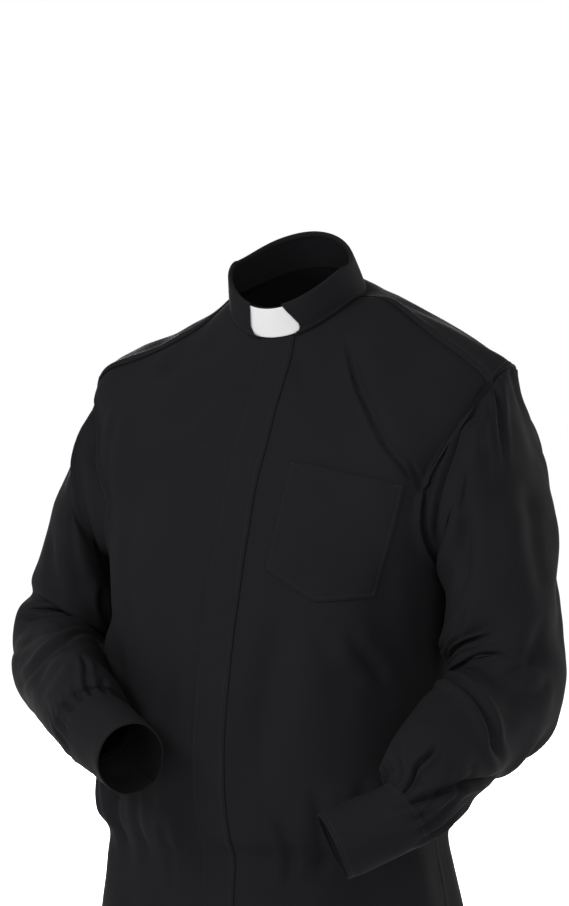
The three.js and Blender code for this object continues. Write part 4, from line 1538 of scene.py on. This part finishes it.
    def _pocket(self) -> None:
        """Builds the pointed chest pocket with its sewn edges and hemmed mouth."""
        corner = {k: np.array(v, float) for k, v in self.pocket.items()}
        down = spaced(125, 2.9, EDGE_MARKS)
        over = spaced(120, 2.9, EDGE_MARKS)
        top = corner["top_inner"] + (corner["top_outer"] - corner["top_inner"]) * over[:, None]
        low = np.where((over < 0.5)[:, None],
                       corner["bottom_inner"] + (corner["point"] - corner["bottom_inner"]) * (over * 2)[:, None],
                       corner["point"] + (corner["bottom_outer"] - corner["point"]) * (over * 2 - 1)[:, None])
        flat = top[None] + (low - top)[None] * down[:, None, None]
        turns, levels = self.form.find(flat[..., 0], flat[..., 1])
        plain = self.form.plain(turns, levels)
        mouth, foot = lengths_in(plain, 0), lengths_in(plain, 0, True)
        sides = from_ends(plain, 1)
        edge = np.minimum(sides, foot)
        round_off = -0.7 * (1 - smooth(np.minimum(edge, mouth), 0, 2.0))
        groove = -0.4 * hump(edge, self.pocket_stitch, 0.8) - 0.15 * hump(mouth, 24, 1.6)
        belly = 1.2 * smooth(edge, 6, 40) * (1 - 0.5 * smooth(mouth, 0, 90)) + 0.35 * waves(plain, 40, 61)
        gape = 0.9 * hump(mouth, 0, 10) * smooth(sides, 4, 40)
        lift = self.pocket_lift + round_off + groove + (belly + gape) * smooth(edge, 4, 10)
        points, normals = self.form.skin(turns, levels, lift)
        shell = Shell("pocket_cloth", points, normals, CLOTH)
        self.cloth(shell, "pocket", (0.13, 0.14), rests_on=("front_left_cloth",))
        rows = slice(1, int(np.argmax(foot.mean(axis=1) < self.pocket_stitch)) + 1)
        inside = np.flatnonzero(sides[-12] >= 4.2)
        self._sew_sides(shell, plain, self.pocket_stitch, BOTH_ENDS, rows)
        self._sew(shell, foot, self.pocket_stitch, 0, slice(int(inside[0]), int(inside[-1]) + 1))
        for end in (slice(int(inside[0]), int(inside[0]) + 5), slice(int(inside[-1]) - 4, int(inside[-1]) + 1)):
            self._sew(shell, mouth, 2.4, 0, end)
            self._sew(shell, mouth, 3.3, 0, end)


@dataclass
class Arm(SubAssembly):
    """One sleeve with its cuff, its slit's placket and its button."""

    form: SleeveForm
    name: str
    columns: int = 172
    head_rows: int = 26
    rows_per_station: int = 13
    cuff_lap: float = 26.0
    cuff_lap_at: float = -112.0
    cuff_rise: float = 34.0
    cuff_stitch: float = 4.6
    slit_stitch: float = 2.8
    cuff_lift: float = 0.5
    slit_lift: float = 1.7
    # Where the strip over the slit starts and how far it runs, in degrees and stations
    slit_at: tuple[float, float] = (-117.0, 8.4)
    slit_size: tuple[float, float] = (31.5, 3.35)
    button_radius: float = 5.7
    button_thickness: float = 2.6
    button_holes: float = 0.95
    hole_radius: float = 0.55

    def build(self) -> None:
        """Builds the arm's pieces and sews them."""
        self.lines: list[StitchLine] = []
        self._sleeve()
        self._cuff()
        self._placket()
        self._button()
        self.stitcher.sew(f"sleeve_{self.name}_stitches", self.lines)

    def _sleeve(self) -> None:
        """Builds the sleeve, its head tucked under the body and its end inside the cuff."""
        alphas = np.linspace(0, 360, self.columns, endpoint=False)
        main = np.linspace(0, CUFF_FROM, CUFF_FROM * self.rows_per_station)[1:]
        stations = np.concatenate([np.linspace(-1, 0, self.head_rows), main, [CUFF_FROM + 0.05, CUFF_FROM + 0.1]])
        alpha, station = np.meshgrid(alphas, stations)
        tuck = -1.0 * smooth(station, CUFF_FROM - 0.05, CUFF_FROM + 0.02)
        head = -0.7 * (1 - smooth(station, -1.0, -0.86))
        seam = 0.45 * hump((alpha - 180) * ROUND_SCALE, 0, 4) * smooth(station, -0.9, -0.5)
        points, normals = self.form.skin(alpha, station, tuck + head + seam)
        turn, level = self.form.body.armhole_at((alphas + 180) % 360 - 180, self.form.side)
        edge = self.form.body.plain(self.form.side * turn, level)
        flat = self.form.body.normal(self.form.side * turn, level)
        away = edge - np.array(self.form.body.armhole.middle) * (self.form.side, 1, 1)
        away = unit(away - flat * (away * flat).sum(-1, keepdims=True))
        tucked = edge + away * UNDERLAP - flat * 1.0
        start = edge - flat * 0.75
        points = np.concatenate([tucked[None], start[None], points[1:]])
        normals = np.concatenate([flat[None], unit(flat + normals[0])[None], normals[1:]])
        shell = Shell(f"sleeve_{self.name}_cloth", points, normals, CLOTH, True)
        self.cloth(shell, f"sleeve_{self.name}", (0.50, 0.62), Held.GATHERED)

    def _cuff(self) -> None:
        """Builds the cuff, a band whose end laps over its start."""
        count = spaced(230, 2.6, CUFF_MARKS)
        angles = self.cuff_lap_at + (360 + self.cuff_lap) * count
        share = spaced(82, 2.6, CUFF_MARKS)
        stations = CUFF_FROM + 0.008 + (CUFF_TO - CUFF_FROM - 0.008) * share
        alpha, station = np.meshgrid(angles, stations)
        risen = self.cuff_lap_at + 358
        over = smooth(alpha, risen - self.cuff_rise, risen) * (SOLID_CLOTH + LAYER_GAP)
        plain = self.form.form(alpha, station)
        ends = from_ends(plain, 1)
        rims = from_ends(plain, 0)
        edge = np.minimum(ends, rims)
        groove = -0.35 * hump(edge, self.cuff_stitch, 0.9)
        lift = over + self.cuff_lift - 0.5 * (1 - smooth(edge, 0, 1.6)) + groove
        lift = lift + 0.35 * waves(plain, 38, 71) * smooth(edge, 5, 14)
        points, normals = self.form.skin(alpha, station, lift)
        shell = Shell(f"cuff_{self.name}_cloth", points, normals, 1.4)
        self.cloth(shell, f"cuff_{self.name}", (0.25, 0.085), Held.STRETCHED)
        self._sew_sides(shell, plain, self.cuff_stitch, ((0, False), (0, True), (1, True)))

    def _placket(self) -> None:
        """Builds the strip over the sleeve's slit."""
        angles = self.slit_at[0] + self.slit_size[0] * spaced(28, 2.2, SLIT_MARKS)
        stations = self.slit_at[1] + self.slit_size[1] * spaced(120, 3.0, SLIT_MARKS)
        alpha, station = np.meshgrid(angles, stations)
        plain = self.form.form(alpha, station)
        ends = from_ends(plain, 1)
        edge = np.minimum(ends, lengths_in(plain, 0))
        lift = self.slit_lift - 0.5 * (1 - smooth(edge, 0, 1.5)) - 0.3 * hump(edge, self.slit_stitch, 0.7)
        points, normals = self.form.skin(alpha, station, lift)
        shell = Shell(f"sleeve_placket_{self.name}_cloth", points, normals, CLOTH)
        self.cloth(shell, f"sleeve_placket_{self.name}", (0.03, 0.125), rests_on=(f"sleeve_{self.name}_cloth",))
        self._sew_sides(shell, plain, self.slit_stitch, (*BOTH_ENDS, (0, False)))

    def _button(self) -> None:
        """Builds the cuff's four-hole button with its thread."""
        alpha = np.array([self.cuff_lap_at + self.cuff_lap * 0.5])
        station = np.array([CUFF_FROM + 0.5])
        normal = self.form.normal(alpha, station)[0]
        place = self.form.form(alpha, station)[0] + normal * (SOLID_CLOTH + LAYER_GAP + 0.2)
        r, t = self.button_radius, self.button_thickness
        profile = [(0.0, 0.3), (r * 0.75, 0.3), (r - 0.5, 0.45), (r - 0.1, 0.9), (r, 1.3), (r - 0.12, t - 0.5),
                   (r - 0.5, t - 0.12), (r - 1.0, t), (r * 0.68, t - 0.1), (r * 0.6, t - 0.45), (r * 0.4, t - 0.6),
                   (0.0, t - 0.65)]
        steps, verts, faces = 40, [], []
        for radius, height in profile:
            for k in range(steps):
                a = 2 * math.pi * k / steps
                verts.append((radius * math.cos(a), radius * math.sin(a), height))
        for row in range(len(profile) - 1):
            for k in range(steps):
                n = (k + 1) % steps
                faces.append((row * steps + k, row * steps + n, (row + 1) * steps + n, (row + 1) * steps + k))
        mesh = bpy.data.meshes.new(f"cuff_button_{self.name}_moulded")
        mesh.from_pydata(verts, [], faces)
        work = bmesh.new()
        work.from_mesh(mesh)
        bmesh.ops.remove_doubles(work, verts=work.verts, dist=0.001)
        bmesh.ops.recalc_face_normals(work, faces=work.faces)
        work.to_mesh(mesh)
        work.free()
        turn = Vector(normal).to_track_quat("Z", "Y").to_matrix().to_4x4()
        to_place = Matrix.Translation(Vector(place) * MM) @ turn @ Matrix.Scale(MM, 4)
        button = self._drilled(mesh)
        button.data.transform(to_place)
        button.data.materials.clear()
        button.data.materials.append(self.finishes.button)
        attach(button, "root")
        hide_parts(f"cuff_button_{self.name}")
        axis_x, axis_y = (np.array(turn.to_3x3() @ Vector(v)) for v in ((1, 0, 0), (0, 1, 0)))
        for sign in (1, -1):
            row = [place + normal * (t - 0.5) + axis_x * (self.button_holes * s) + axis_y * self.button_holes * sign
                   for s in (-1.0, 0.0, 1.0)]
            self.lines.append(StitchLine(np.array(row), np.array([normal] * 3)))

    def _drilled(self, mesh: bpy.types.Mesh) -> bpy.types.Object:
        """Cuts four thread holes through a button.

        Args:
            mesh: The button's mesh.

        Returns:
            The button's object.
        """
        button = add_object(mesh.name, mesh)
        work = bmesh.new()
        for x in (-self.button_holes, self.button_holes):
            for y in (-self.button_holes, self.button_holes):
                bmesh.ops.create_cone(work, cap_ends=True, segments=16, radius1=self.hole_radius,
                                      radius2=self.hole_radius, depth=8, matrix=Matrix.Translation((x, y, 0)))
        holes = bpy.data.meshes.new("holes")
        work.to_mesh(holes)
        work.free()
        cutter = add_object("holes", holes)
        cut = button.modifiers.new("cut", "BOOLEAN")
        cut.object, cut.operation, cut.solver = cutter, "DIFFERENCE", "EXACT"
        bpy.context.view_layer.update()
        made = bpy.data.meshes.new_from_object(button.evaluated_get(bpy.context.evaluated_depsgraph_get()))
        button.modifiers.clear()
        button.data = made
        bpy.data.objects.remove(cutter)
        shade_smooth(made, 40)
        return button


@dataclass
class Collar(SubAssembly):
    """The stand collar: the inner band, the outer collar folded over it, and the white tab."""

    form: CollarForm
    # Height and half turn of the outer collar's open front
    notch: tuple[tuple[float, float], ...] = ((0.03, 14), (0.1, 20), (0.25, 22.5), (0.5, 20.5), (0.75, 18), (1.0, 16))
    leaf_stitch: float = 6.2
    tab_turn: float = 46.0
    tab_low: float = 0.05
    tab_high: float = 0.93
    tab_lift: float = 1.2

    def build(self) -> None:
        """Builds the collar's pieces and sews them."""
        self.lines: list[StitchLine] = []
        self._band()
        self._leaf()
        self._tab()
        self.stitcher.sew("collar_stitches", self.lines)

    def _band(self) -> None:
        """Builds the inner band, its ends lapped behind the tab."""
        turn, height = np.meshgrid(np.linspace(-10, 370, 170), np.linspace(0.0, 0.95, 18))
        behind = smooth(turn, 330, 350) * (SOLID_CLOTH + 0.5)
        points, normals = self.form.skin(turn, height, -0.15 - behind)
        self.cloth(Shell("collar_band_cloth", points, normals, 1.0), "collar_band", (0.46, 0.045), Held.STRETCHED)

    def _leaf(self) -> None:
        """Builds the outer collar, folded over the band's top edge."""
        path = np.array([(0.0, 2.95), (0.012, 3.3), (0.05, 3.45), (0.1, 3.5), (0.14, 3.35), (0.17, 3.3), (0.2, 3.4),
                         (0.3, 3.6), (0.42, 3.55), (0.55, 3.4), (0.7, 3.2), (0.82, 3.0), (0.92, 2.85), (0.97, 2.6),
                         (1.0, 2.15), (1.018, 1.5), (1.026, 0.6), (1.02, -0.4), (1.0, -1.3), (0.97, -2.0),
                         (0.92, -2.35)])
        notch = np.array(self.notch, float)
        half = np.interp(np.minimum(path[:, 0], 1), notch[:, 0], notch[:, 1])
        share = spaced(400, 2.5, COLLAR_MARKS)
        turn = half[:, None] + (360 - 2 * half)[:, None] * share
        height = np.broadcast_to(path[:, :1], turn.shape)
        plain = self.form.plain(turn, height)
        ends = from_ends(plain, 1)
        lift = path[:, 1:] - 0.35 * (1 - smooth(ends, 0, 1.4)) * np.sign(path[:, 1:]) + 0.25 * waves(plain, 45, 81)
        points, _ = self.form.skin(turn, height, lift)
        down = np.gradient(points, axis=0)
        along = np.gradient(points, axis=1)
        normals = unit(np.cross(along, down))
        shell = Shell("collar_leaf_cloth", points, normals, 1.0)
        self.cloth(shell, "collar_leaf", (0.45, 0.06), Held.STRETCHED, rests_on=("collar_band_cloth",))
        self._sew_sides(shell, points, self.leaf_stitch, ((0, False),))

    def _tab(self) -> None:
        """Builds the white tab in the collar's tunnel."""
        heights = np.concatenate([[self.tab_low, 0.056, 0.07], np.linspace(0.1, 0.88, 14), [0.915, self.tab_high]])
        turn, height = np.meshgrid(np.linspace(-self.tab_turn, self.tab_turn, 70), heights)
        edge = np.minimum(height - self.tab_low, self.tab_high - height)
        lift = self.tab_lift - 0.25 * (1 - smooth(edge, 0, 0.02))
        points, normals = self.form.skin(turn, height, lift)
        self.cloth(Shell("tab_plastic", points, normals, 0.7), "tab", (0.105, 0.038), Held.STRETCHED,
                   rests_on=("collar_band_cloth",), finish=self.finishes.tab, slot="white_tab")


# ------------------------------------------------------------------ creases placed one by one
#
# Each row is a crease's path, width, depth, lean, shoulder and fade, as in Crease.


def body_creases() -> dict[Face, list[Crease]]:
    """Lists the body's finer creases, in millimetres across and up.

    Returns:
        The creases of each face.
    """
    front = [
        # The drag from under the collar to the pocket's corner, and the short one beside it
        (((79, -36), (90, -58), (104, -86), (122, -116)), 11, -1.2, 0.3, 0.5, (0.3, 0.6)),
        (((79, -39), (84, -46), (93, -66), (107, -93), (120, -114), (132, -132), (144, -148), (166, -171),
                (180, -190)), 2.1, -2.5, 0.25, 0.7, (0.3, 0.1)),
        (((174, -167), (181, -181), (186, -195), (187, -214), (187, -240)), 2.1, -2.6, -0.25, 0.7, (0.2, 0.4)),
        # Soft drags on the right chest and from the collar
        (((-38, -36), (-88, -56), (-138, -77)), 13, -3.2, 0.3, 0.5),
        (((-8, -112), (-57, -152), (-119, -168)), 13, -3.2, 0.3, 0.5),
        (((-30, -60), (-66, -104), (-128, -132)), 10, -1.2, 0.2, 0.5),
        (((34, -52), (46, -78), (60, -96)), 8, -1.3, 0.2, 0.6),
        (((-178, -110), (-176, -150), (-170, -205), (-160, -232)), 6, -1.9, 0.4, 0.6),
        (((-162, -330), (-168, -390), (-166, -440)), 26, 11.0, 0.0, 0.0, (0.3, 0.3)),
        # Below the pocket and toward the bloused waist
        (((128, -336), (141, -356), (158, -390)), 5.5, -2.8, 0.6, 0.8),
        (((104, -330), (120, -372), (124, -436)), 12, -1.7, 0.2, 0.5),
        (((66, -300), (60, -382), (52, -500)), 13, -2.2, -0.2, 0.5),
        (((-80, -268), (-62, -357), (-60, -447), (-70, -520)), 14, -2.0, 0.2, 0.5),
        (((-134, -188), (-127, -270), (-108, -361)), 14, -1.9, 0.2, 0.5),
        (((-152, -330), (-136, -392), (-130, -480)), 9, -2.0, 0.3, 0.7),
        (((168, -250), (158, -300), (160, -350)), 10, -1.8, -0.2, 0.6),
        (((26, -420), (34, -480), (30, -552)), 9, -1.5, 0.2, 0.6),
        (((-26, -440), (-36, -498), (-30, -556)), 8, -1.4, -0.2, 0.6),
        # Gathered folds at the drawn-in waist
        (((108, -486), (112, -528), (104, -580)), 6.5, -3.0, 0.4, 0.8),
        (((146, -476), (150, -520), (138, -566)), 6.0, -3.3, -0.4, 0.8),
        (((70, -514), (78, -545), (74, -590)), 5.5, -2.4, 0.3, 0.8),
        (((172, -462), (170, -510), (160, -548)), 5.0, -2.6, 0.3, 0.8),
        (((-90, -494), (-96, -536), (-88, -584)), 6.5, -2.8, -0.4, 0.8),
        (((-124, -488), (-134, -530), (-124, -572)), 5.5, -3.0, 0.4, 0.8),
        (((-160, -466), (-164, -508), (-154, -548)), 5.5, -2.8, -0.3, 0.8),
        (((-52, -520), (-58, -552), (-54, -600)), 5.0, -1.9, 0.3, 0.8),
        (((120, -600), (128, -650), (132, -706)), 11, -2.4, 0.2, 0.5),
        (((-112, -604), (-104, -660), (-110, -712)), 12, -2.2, -0.2, 0.5),
        (((60, -610), (54, -668), (58, -734)), 12, -1.8, 0.2, 0.5),
        (((-60, -612), (-66, -660), (-58, -736)), 10, -1.8, 0.2, 0.5),
    ]
    back = [
        (((-168, -120), (-138, -176), (-120, -250)), 6.5, -4.3, 0.5, 0.7, (0.3, 0.4)),
        (((166, -118), (140, -170), (126, -238), (128, -290)), 7.0, -4.6, -0.5, 0.7, (0.3, 0.4)),
        (((-60, -100), (-84, -170), (-88, -250)), 12, -2.3, 0.2, 0.5),
        (((70, -108), (86, -160), (84, -232)), 13, -2.2, -0.2, 0.5),
        (((4, -120), (-6, -210), (2, -300)), 15, -2.0, 0.2, 0.5),
        (((-150, -250), (-128, -318), (-132, -400)), 9, -3.1, 0.3, 0.6),
        (((152, -262), (134, -330), (140, -408)), 9, -3.0, -0.3, 0.6),
        (((-40, -330), (-52, -410), (-44, -500)), 10, -3.2, 0.3, 0.6),
        (((56, -340), (50, -430), (62, -512)), 11, -3.0, -0.3, 0.6),
        (((-112, -430), (-120, -490), (-108, -560)), 6.5, -4.1, 0.4, 0.8),
        (((-82, -460), (-88, -512), (-80, -570)), 6.0, -3.5, -0.4, 0.8),
        (((-18, -450), (-12, -510), (-20, -580)), 6.0, -3.2, 0.3, 0.8),
        (((34, -470), (28, -520), (36, -572)), 5.0, -3.0, -0.3, 0.8),
        (((88, -440), (96, -500), (86, -566)), 6.5, -4.1, 0.4, 0.8),
        (((132, -428), (142, -486), (130, -550)), 6.0, -3.8, -0.4, 0.8),
        (((-150, -440), (-160, -490), (-148, -545)), 5.5, -3.6, 0.3, 0.8),
        (((-70, -600), (-76, -670), (-68, -752)), 12, -3.1, 0.2, 0.5),
        (((20, -606), (26, -680), (18, -756)), 13, -2.7, -0.2, 0.5),
        (((104, -600), (98, -664), (106, -738)), 11, -3.1, 0.2, 0.5),
    ]
    return {face: [Crease(*row) for row in rows] for face, rows in ((Face.FRONT, front), (Face.BACK, back))}


def sleeve_creases(side: str) -> list[Crease]:
    """Lists a sleeve's finer creases, in degrees round it and stations along it.

    Args:
        side: left or right.

    Returns:
        The creases.
    """
    left = [
        # Down the front beside the armhole, and the two long pleats from the head
        (((46, -0.86), (49, -0.79), (63, -0.61), (80, -0.51), (98, -0.5), (116, -0.55), (130, -0.5)),
               2.6, -4.2, 0.4, 0.7, (0.15, 0.3)),
        (((122, -0.5), (124, 0.4), (128, 1.9)), 34, 13.0, 0.0, 0.0, (0.15, 0.4)),
        (((-27, -0.95), (-28, -0.5), (-28, 0.1)), 22, -2.0, 0.0, 0.0, (0.2, 0.5)),
        (((-64, 0.6), (-30, 2.2), (-27, 4.0)), 28, 4.5, 0.0, 0.0, (0.2, 0.3)),
        (((24, -0.95), (18, -0.11), (23, 0.87), (30, 1.7)), 3.0, -3.4, 0.4, 0.8, (0.1, 0.6)),
        (((2, -0.9), (-9, -0.05), (-15, 0.6)), 4.2, -2.0, -0.4, 0.7, (0.1, 0.6)),
        (((38, -0.9), (44, 0.2), (54, 1.3)), 6.5, -1.2, 0.3, 0.6, (0.1, 0.6)),
        (((-20, -0.9), (-34, 0.3), (-40, 1.6)), 7, -1.2, 0.3, 0.6, (0.1, 0.6)),
        # The crook of the elbow
        (((140, 5.5), (118, 5.27), (102, 5.2), (81, 5.22), (64, 5.1)), 3.0, -4.4, 0.6, 0.9, (0.1, 0.5)),
        (((92, 3.7), (99, 4.3), (110, 4.95)), 5.0, -2.6, 0.3, 0.7),
        (((150, 4.6), (128, 4.5), (104, 4.1)), 7.0, -2.6, -0.3, 0.6),
        (((146, 6.4), (120, 6.5), (92, 6.1), (70, 6.3)), 6.5, -2.8, 0.4, 0.6),
        # The trough over the elbow and the ridge below it
        (((10, 4.8), (30, 5.5), (43, 6.1), (57, 7.2), (72, 7.9)), 9.0, -4.4, 0.4, 0.5),
        (((132, 7.9), (120, 8.11), (87, 8.6), (55, 8.97), (32, 9.23), (12, 9.45), (-12, 9.3)),
               3.8, -4.4, -0.6, 1.0, (0.1, 0.25)),
        (((20, 6.6), (30, 7.6), (36, 8.5)), 9, -2.6, 0.2, 0.5),
        # Running into the cuff
        (((62, 10.6), (69, 11.05), (79, 11.41), (80, 12.05)), 3.0, -4.0, 0.5, 0.9, (0.3, 0.1)),
        (((-28, 9.5), (5, 10.67), (36, 11.55), (60, 12.05)), 4.0, -5.4, 0.6, 0.9, (0.25, 0.08)),
        (((120, 10.2), (112, 11.1), (104, 12.05)), 6.0, -2.6, 0.3, 0.6, (0.4, 0.1)),
        (((144, 10.9), (150, 11.5), (148, 12.05)), 4.8, -2.8, 0.3, 0.6, (0.4, 0.1)),
        (((-60, 10.4), (-50, 11.3), (-44, 12.05)), 6.0, -3.4, -0.4, 0.7, (0.4, 0.1)),
        # The outside and back, out of sight in the photograph
        (((-34, -0.3), (-52, 1.6), (-38, 3.6), (-20, 5.0)), 8.0, -3.0, 0.3, 0.6),
        (((-76, 2.4), (-58, 4.2), (-40, 5.6)), 7.0, -3.2, -0.4, 0.6),
        (((-60, 1.2), (-44, 2.6), (-50, 4.0)), 10, -3.8, 0.3, 0.5),
        (((-100, 0.4), (-84, 1.9), (-90, 3.2)), 9, -3.5, -0.3, 0.5),
        (((-140, 0.2), (-122, 1.4), (-126, 2.6)), 8, -3.8, 0.3, 0.5),
        (((-30, 6.2), (-62, 6.7), (-96, 6.3)), 7, -4.3, 0.4, 0.7),
        (((-20, 7.3), (-58, 7.8), (-104, 7.2)), 8, -3.8, -0.4, 0.6),
        (((-84, 5.0), (-110, 4.6), (-146, 4.9)), 6.5, -4.1, 0.4, 0.7),
        (((-76, 8.6), (-88, 9.8), (-84, 10.8)), 8, -3.2, 0.3, 0.5),
        (((166, 1.6), (172, 3.0), (164, 4.2)), 9, -3.2, 0.2, 0.5),
        (((8, 2.2), (14, 3.4), (6, 4.4)), 12, -2.7, 0.2, 0.5),
        (((78, 1.4), (86, 2.4), (96, 3.3)), 9, -2.7, 0.3, 0.5),
    ]
    right = [
        # Where the sleeve folds against the chest, and the drags from its head
        (((50, -0.7), (59, -0.2), (79, -0.13), (104, -0.2), (134, -0.05), (146, 1.4)),
               5.0, -2.8, 0.5, 0.8, (0.3, 0.3)),
        (((32, -0.1), (46, 0.5), (54, 1.1), (42, 2.4)), 24, -5.5, 0.0, 0.0, (0.3, 0.4)),
        (((30, -0.9), (30, 0.1), (40, 1.2)), 6.0, -1.0, 0.4, 0.7, (0.1, 0.6)),
        (((8, -0.9), (2, 0.2), (8, 1.3)), 6.5, -1.5, -0.4, 0.7, (0.1, 0.6)),
        (((-22, -0.9), (-34, 0.4), (-38, 1.5)), 7, -2.6, 0.3, 0.6, (0.1, 0.6)),
        # The crook of the elbow and the loop beside it
        (((36, 5.8), (60, 6.2), (83, 6.6), (117, 6.85), (138, 6.7)), 3.4, -3.2, 0.4, 0.9, (0.3, 0.12)),
        (((140, 2.2), (137, 3.0), (141, 3.7), (152, 4.3)), 3.8, -3.4, -0.4, 0.8, (0.2, 0.2)),
        (((60, 4.6), (82, 5.1), (118, 5.2)), 8, -1.4, 0.3, 0.6),
        (((62, 2.8), (78, 3.6), (98, 4.3)), 10, -2.4, 0.3, 0.5),
        # Arcs over the forearm
        (((-10, 7.7), (14, 8.3), (38, 8.65), (68, 8.6), (94, 8.4), (118, 7.9), (150, 7.4)),
               4.2, -2.6, 0.4, 0.9, (0.3, 0.2)),
        (((62, 7.5), (88, 7.8), (108, 7.6), (140, 7.2)), 5.5, -2.0, 0.4, 0.7, (0.3, 0.2)),
        (((24, 6.9), (44, 7.4), (64, 7.6)), 7, -1.6, 0.3, 0.6),
        (((24, 9.4), (48, 9.7), (80, 9.6)), 7.5, -1.8, 0.3, 0.6),
        # Running into the cuff
        (((108, 9.3), (102, 10.43), (104, 12.05)), 4.4, -2.6, 0.5, 0.8, (0.3, 0.08)),
        (((46, 10.8), (56, 11.4), (66, 12.05)), 4.4, -2.4, -0.5, 0.8, (0.3, 0.08)),
        (((82, 10.7), (84, 11.4), (86, 12.05)), 4.0, -1.6, 0.4, 0.8, (0.3, 0.08)),
        (((128, 10.6), (124, 11.4), (126, 12.05)), 5.0, -1.8, -0.3, 0.7, (0.3, 0.08)),
        (((-66, 10.2), (-56, 11.2), (-48, 12.05)), 6.0, -3.2, 0.4, 0.7, (0.4, 0.1)),
        # The outside and back
        (((-30, -0.2), (-48, 1.4), (-36, 3.4), (-18, 4.9)), 8.5, -3.0, -0.3, 0.6),
        (((-80, 2.2), (-60, 4.0), (-44, 5.4)), 7.0, -3.0, 0.4, 0.6),
        (((-64, 1.0), (-46, 2.4), (-52, 3.8)), 10, -3.8, -0.3, 0.5),
        (((-104, 0.5), (-92, 1.8), (-98, 3.0)), 9, -3.5, 0.3, 0.5),
        (((-146, 0.3), (-128, 1.5), (-134, 2.8)), 8, -3.5, -0.3, 0.5),
        (((-26, 6.0), (-60, 6.4), (-100, 6.0)), 7, -4.3, 0.4, 0.7),
        (((-30, 7.2), (-66, 7.6), (-112, 7.1)), 8, -3.8, -0.4, 0.6),
        (((-90, 4.9), (-116, 4.5), (-150, 4.8)), 6.5, -4.1, 0.4, 0.7),
        (((-72, 8.4), (-84, 9.4), (-80, 10.6)), 8, -3.2, 0.3, 0.5),
        (((170, 1.8), (176, 3.2), (168, 4.4)), 9, -3.0, 0.2, 0.5),
        (((4, 2.4), (10, 3.6), (0, 4.8)), 12, -2.7, 0.2, 0.5),
    ]
    return [Crease(*row) for row in (left if side == "left" else right)]


def head_gathers() -> list[Crease]:
    """Lists the uneven gathers where a sleeve meets the yoke.

    Returns:
        The gathers, from the front to the back.
    """
    places = ((41, 3.6, 1.7, 0.75), (34.5, 3.2, 1.3, 0.5), (28, 3.0, 1.8, 0.95), (21.5, 3.4, 1.2, 0.45),
              (14, 3.0, 1.6, 0.7), (7.5, 2.9, 1.1, 0.55), (1, 3.4, 1.5, 0.8), (-7, 3.0, 1.1, 0.5),
              (-14, 3.4, 1.2, 0.6))
    return [Crease(((a, -1.15), (a * 1.04, -1 + reach)), width, -depth, 0.3 * (-1) ** k, 0.6, (0.05, 0.8))
            for k, (a, width, depth, reach) in enumerate(places)]


def cuff_pleats() -> list[Crease]:
    """Lists the pleats where a sleeve runs into its cuff.

    Returns:
        The pleats, from the back to the front.
    """
    places = ((-38, 5.0, 2.8, 1.9, 10), (-14, 4.4, 2.2, 1.3, -6), (9, 5.0, 2.6, 2.2, 12), (33, 4.2, 2.0, 1.5, 4))
    return [Crease(((a + drift, CUFF_FROM - reach), (a, CUFF_FROM + 0.1)), width, -depth, 0.45, 0.5, (0.8, 0.02))
            for a, width, depth, reach, drift in places]


def solid_sleeve_folds(side: str) -> list[Crease]:
    """Lists the folds that the solid sleeves have too, with their gathers and pleats.

    The front ones beside the armhole are 2 to 4 mm shallower than in the solids.

    Args:
        side: left or right.

    Returns:
        The creases.
    """
    left = ((62, -0.6, 104, 3.2, 13, -3), (24, -0.7, 40, 2.2, 14, -3), (170, 5.4, 60, 5.0, 12, -7),
            (150, 6.6, 30, 8.2, 13, -6), (-30, 4.6, 50, 6.4, 15, -5), (-120, 5.2, -60, 7.4, 16, -5))
    right = ((76, -0.5, 116, 3.6, 13, -4), (-60, 4.6, 120, 5.1, 10, -6), (-50, 6.8, 90, 6.4, 15, -5),
             (20, 9.2, 110, 8.6, 13, -4), (-130, 1.2, -80, 4.4, 18, -5))
    folds = [Crease((row[:2], row[2:4]), *row[4:], 0.2, 0.15) for row in (left if side == "left" else right)]
    return folds + head_gathers() + cuff_pleats()


def main() -> None:
    """Builds the shirt's sub-assemblies in order and reports each piece."""
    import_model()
    Studio().build()
    finishes = Finishes(*(kind().material() for kind in (BlackCloth, BlackThread, WhiteTab, BlackButton)))
    stitcher = Stitcher(finishes.thread)
    body = BodyForm(body_creases())
    Torso(finishes, stitcher, body).build()
    for name, side, sections in (("left", 1, LEFT_SECTIONS), ("right", -1, RIGHT_SECTIONS)):
        form = SleeveForm(side, sections, body, solid_sleeve_folds(name), sleeve_creases(name), seed=3 + side)
        # The left sleeve is the nearer in the photograph, so its grid is finer
        columns, head_rows = (204, 36) if name == "left" else (172, 26)
        Arm(finishes, stitcher, form, name, columns, head_rows).build()
    Collar(finishes, stitcher, CollarForm(body)).build()
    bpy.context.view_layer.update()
    total = sum(len(p.vertices) - 2 for o in bpy.data.objects if o.type == "MESH" for p in o.data.polygons)
    LOG.info("%d triangles in all, the hidden solids too", total)


if __name__ == "__main__":
    logging.basicConfig(level=logging.INFO, format="%(name)s: %(message)s")
    main()
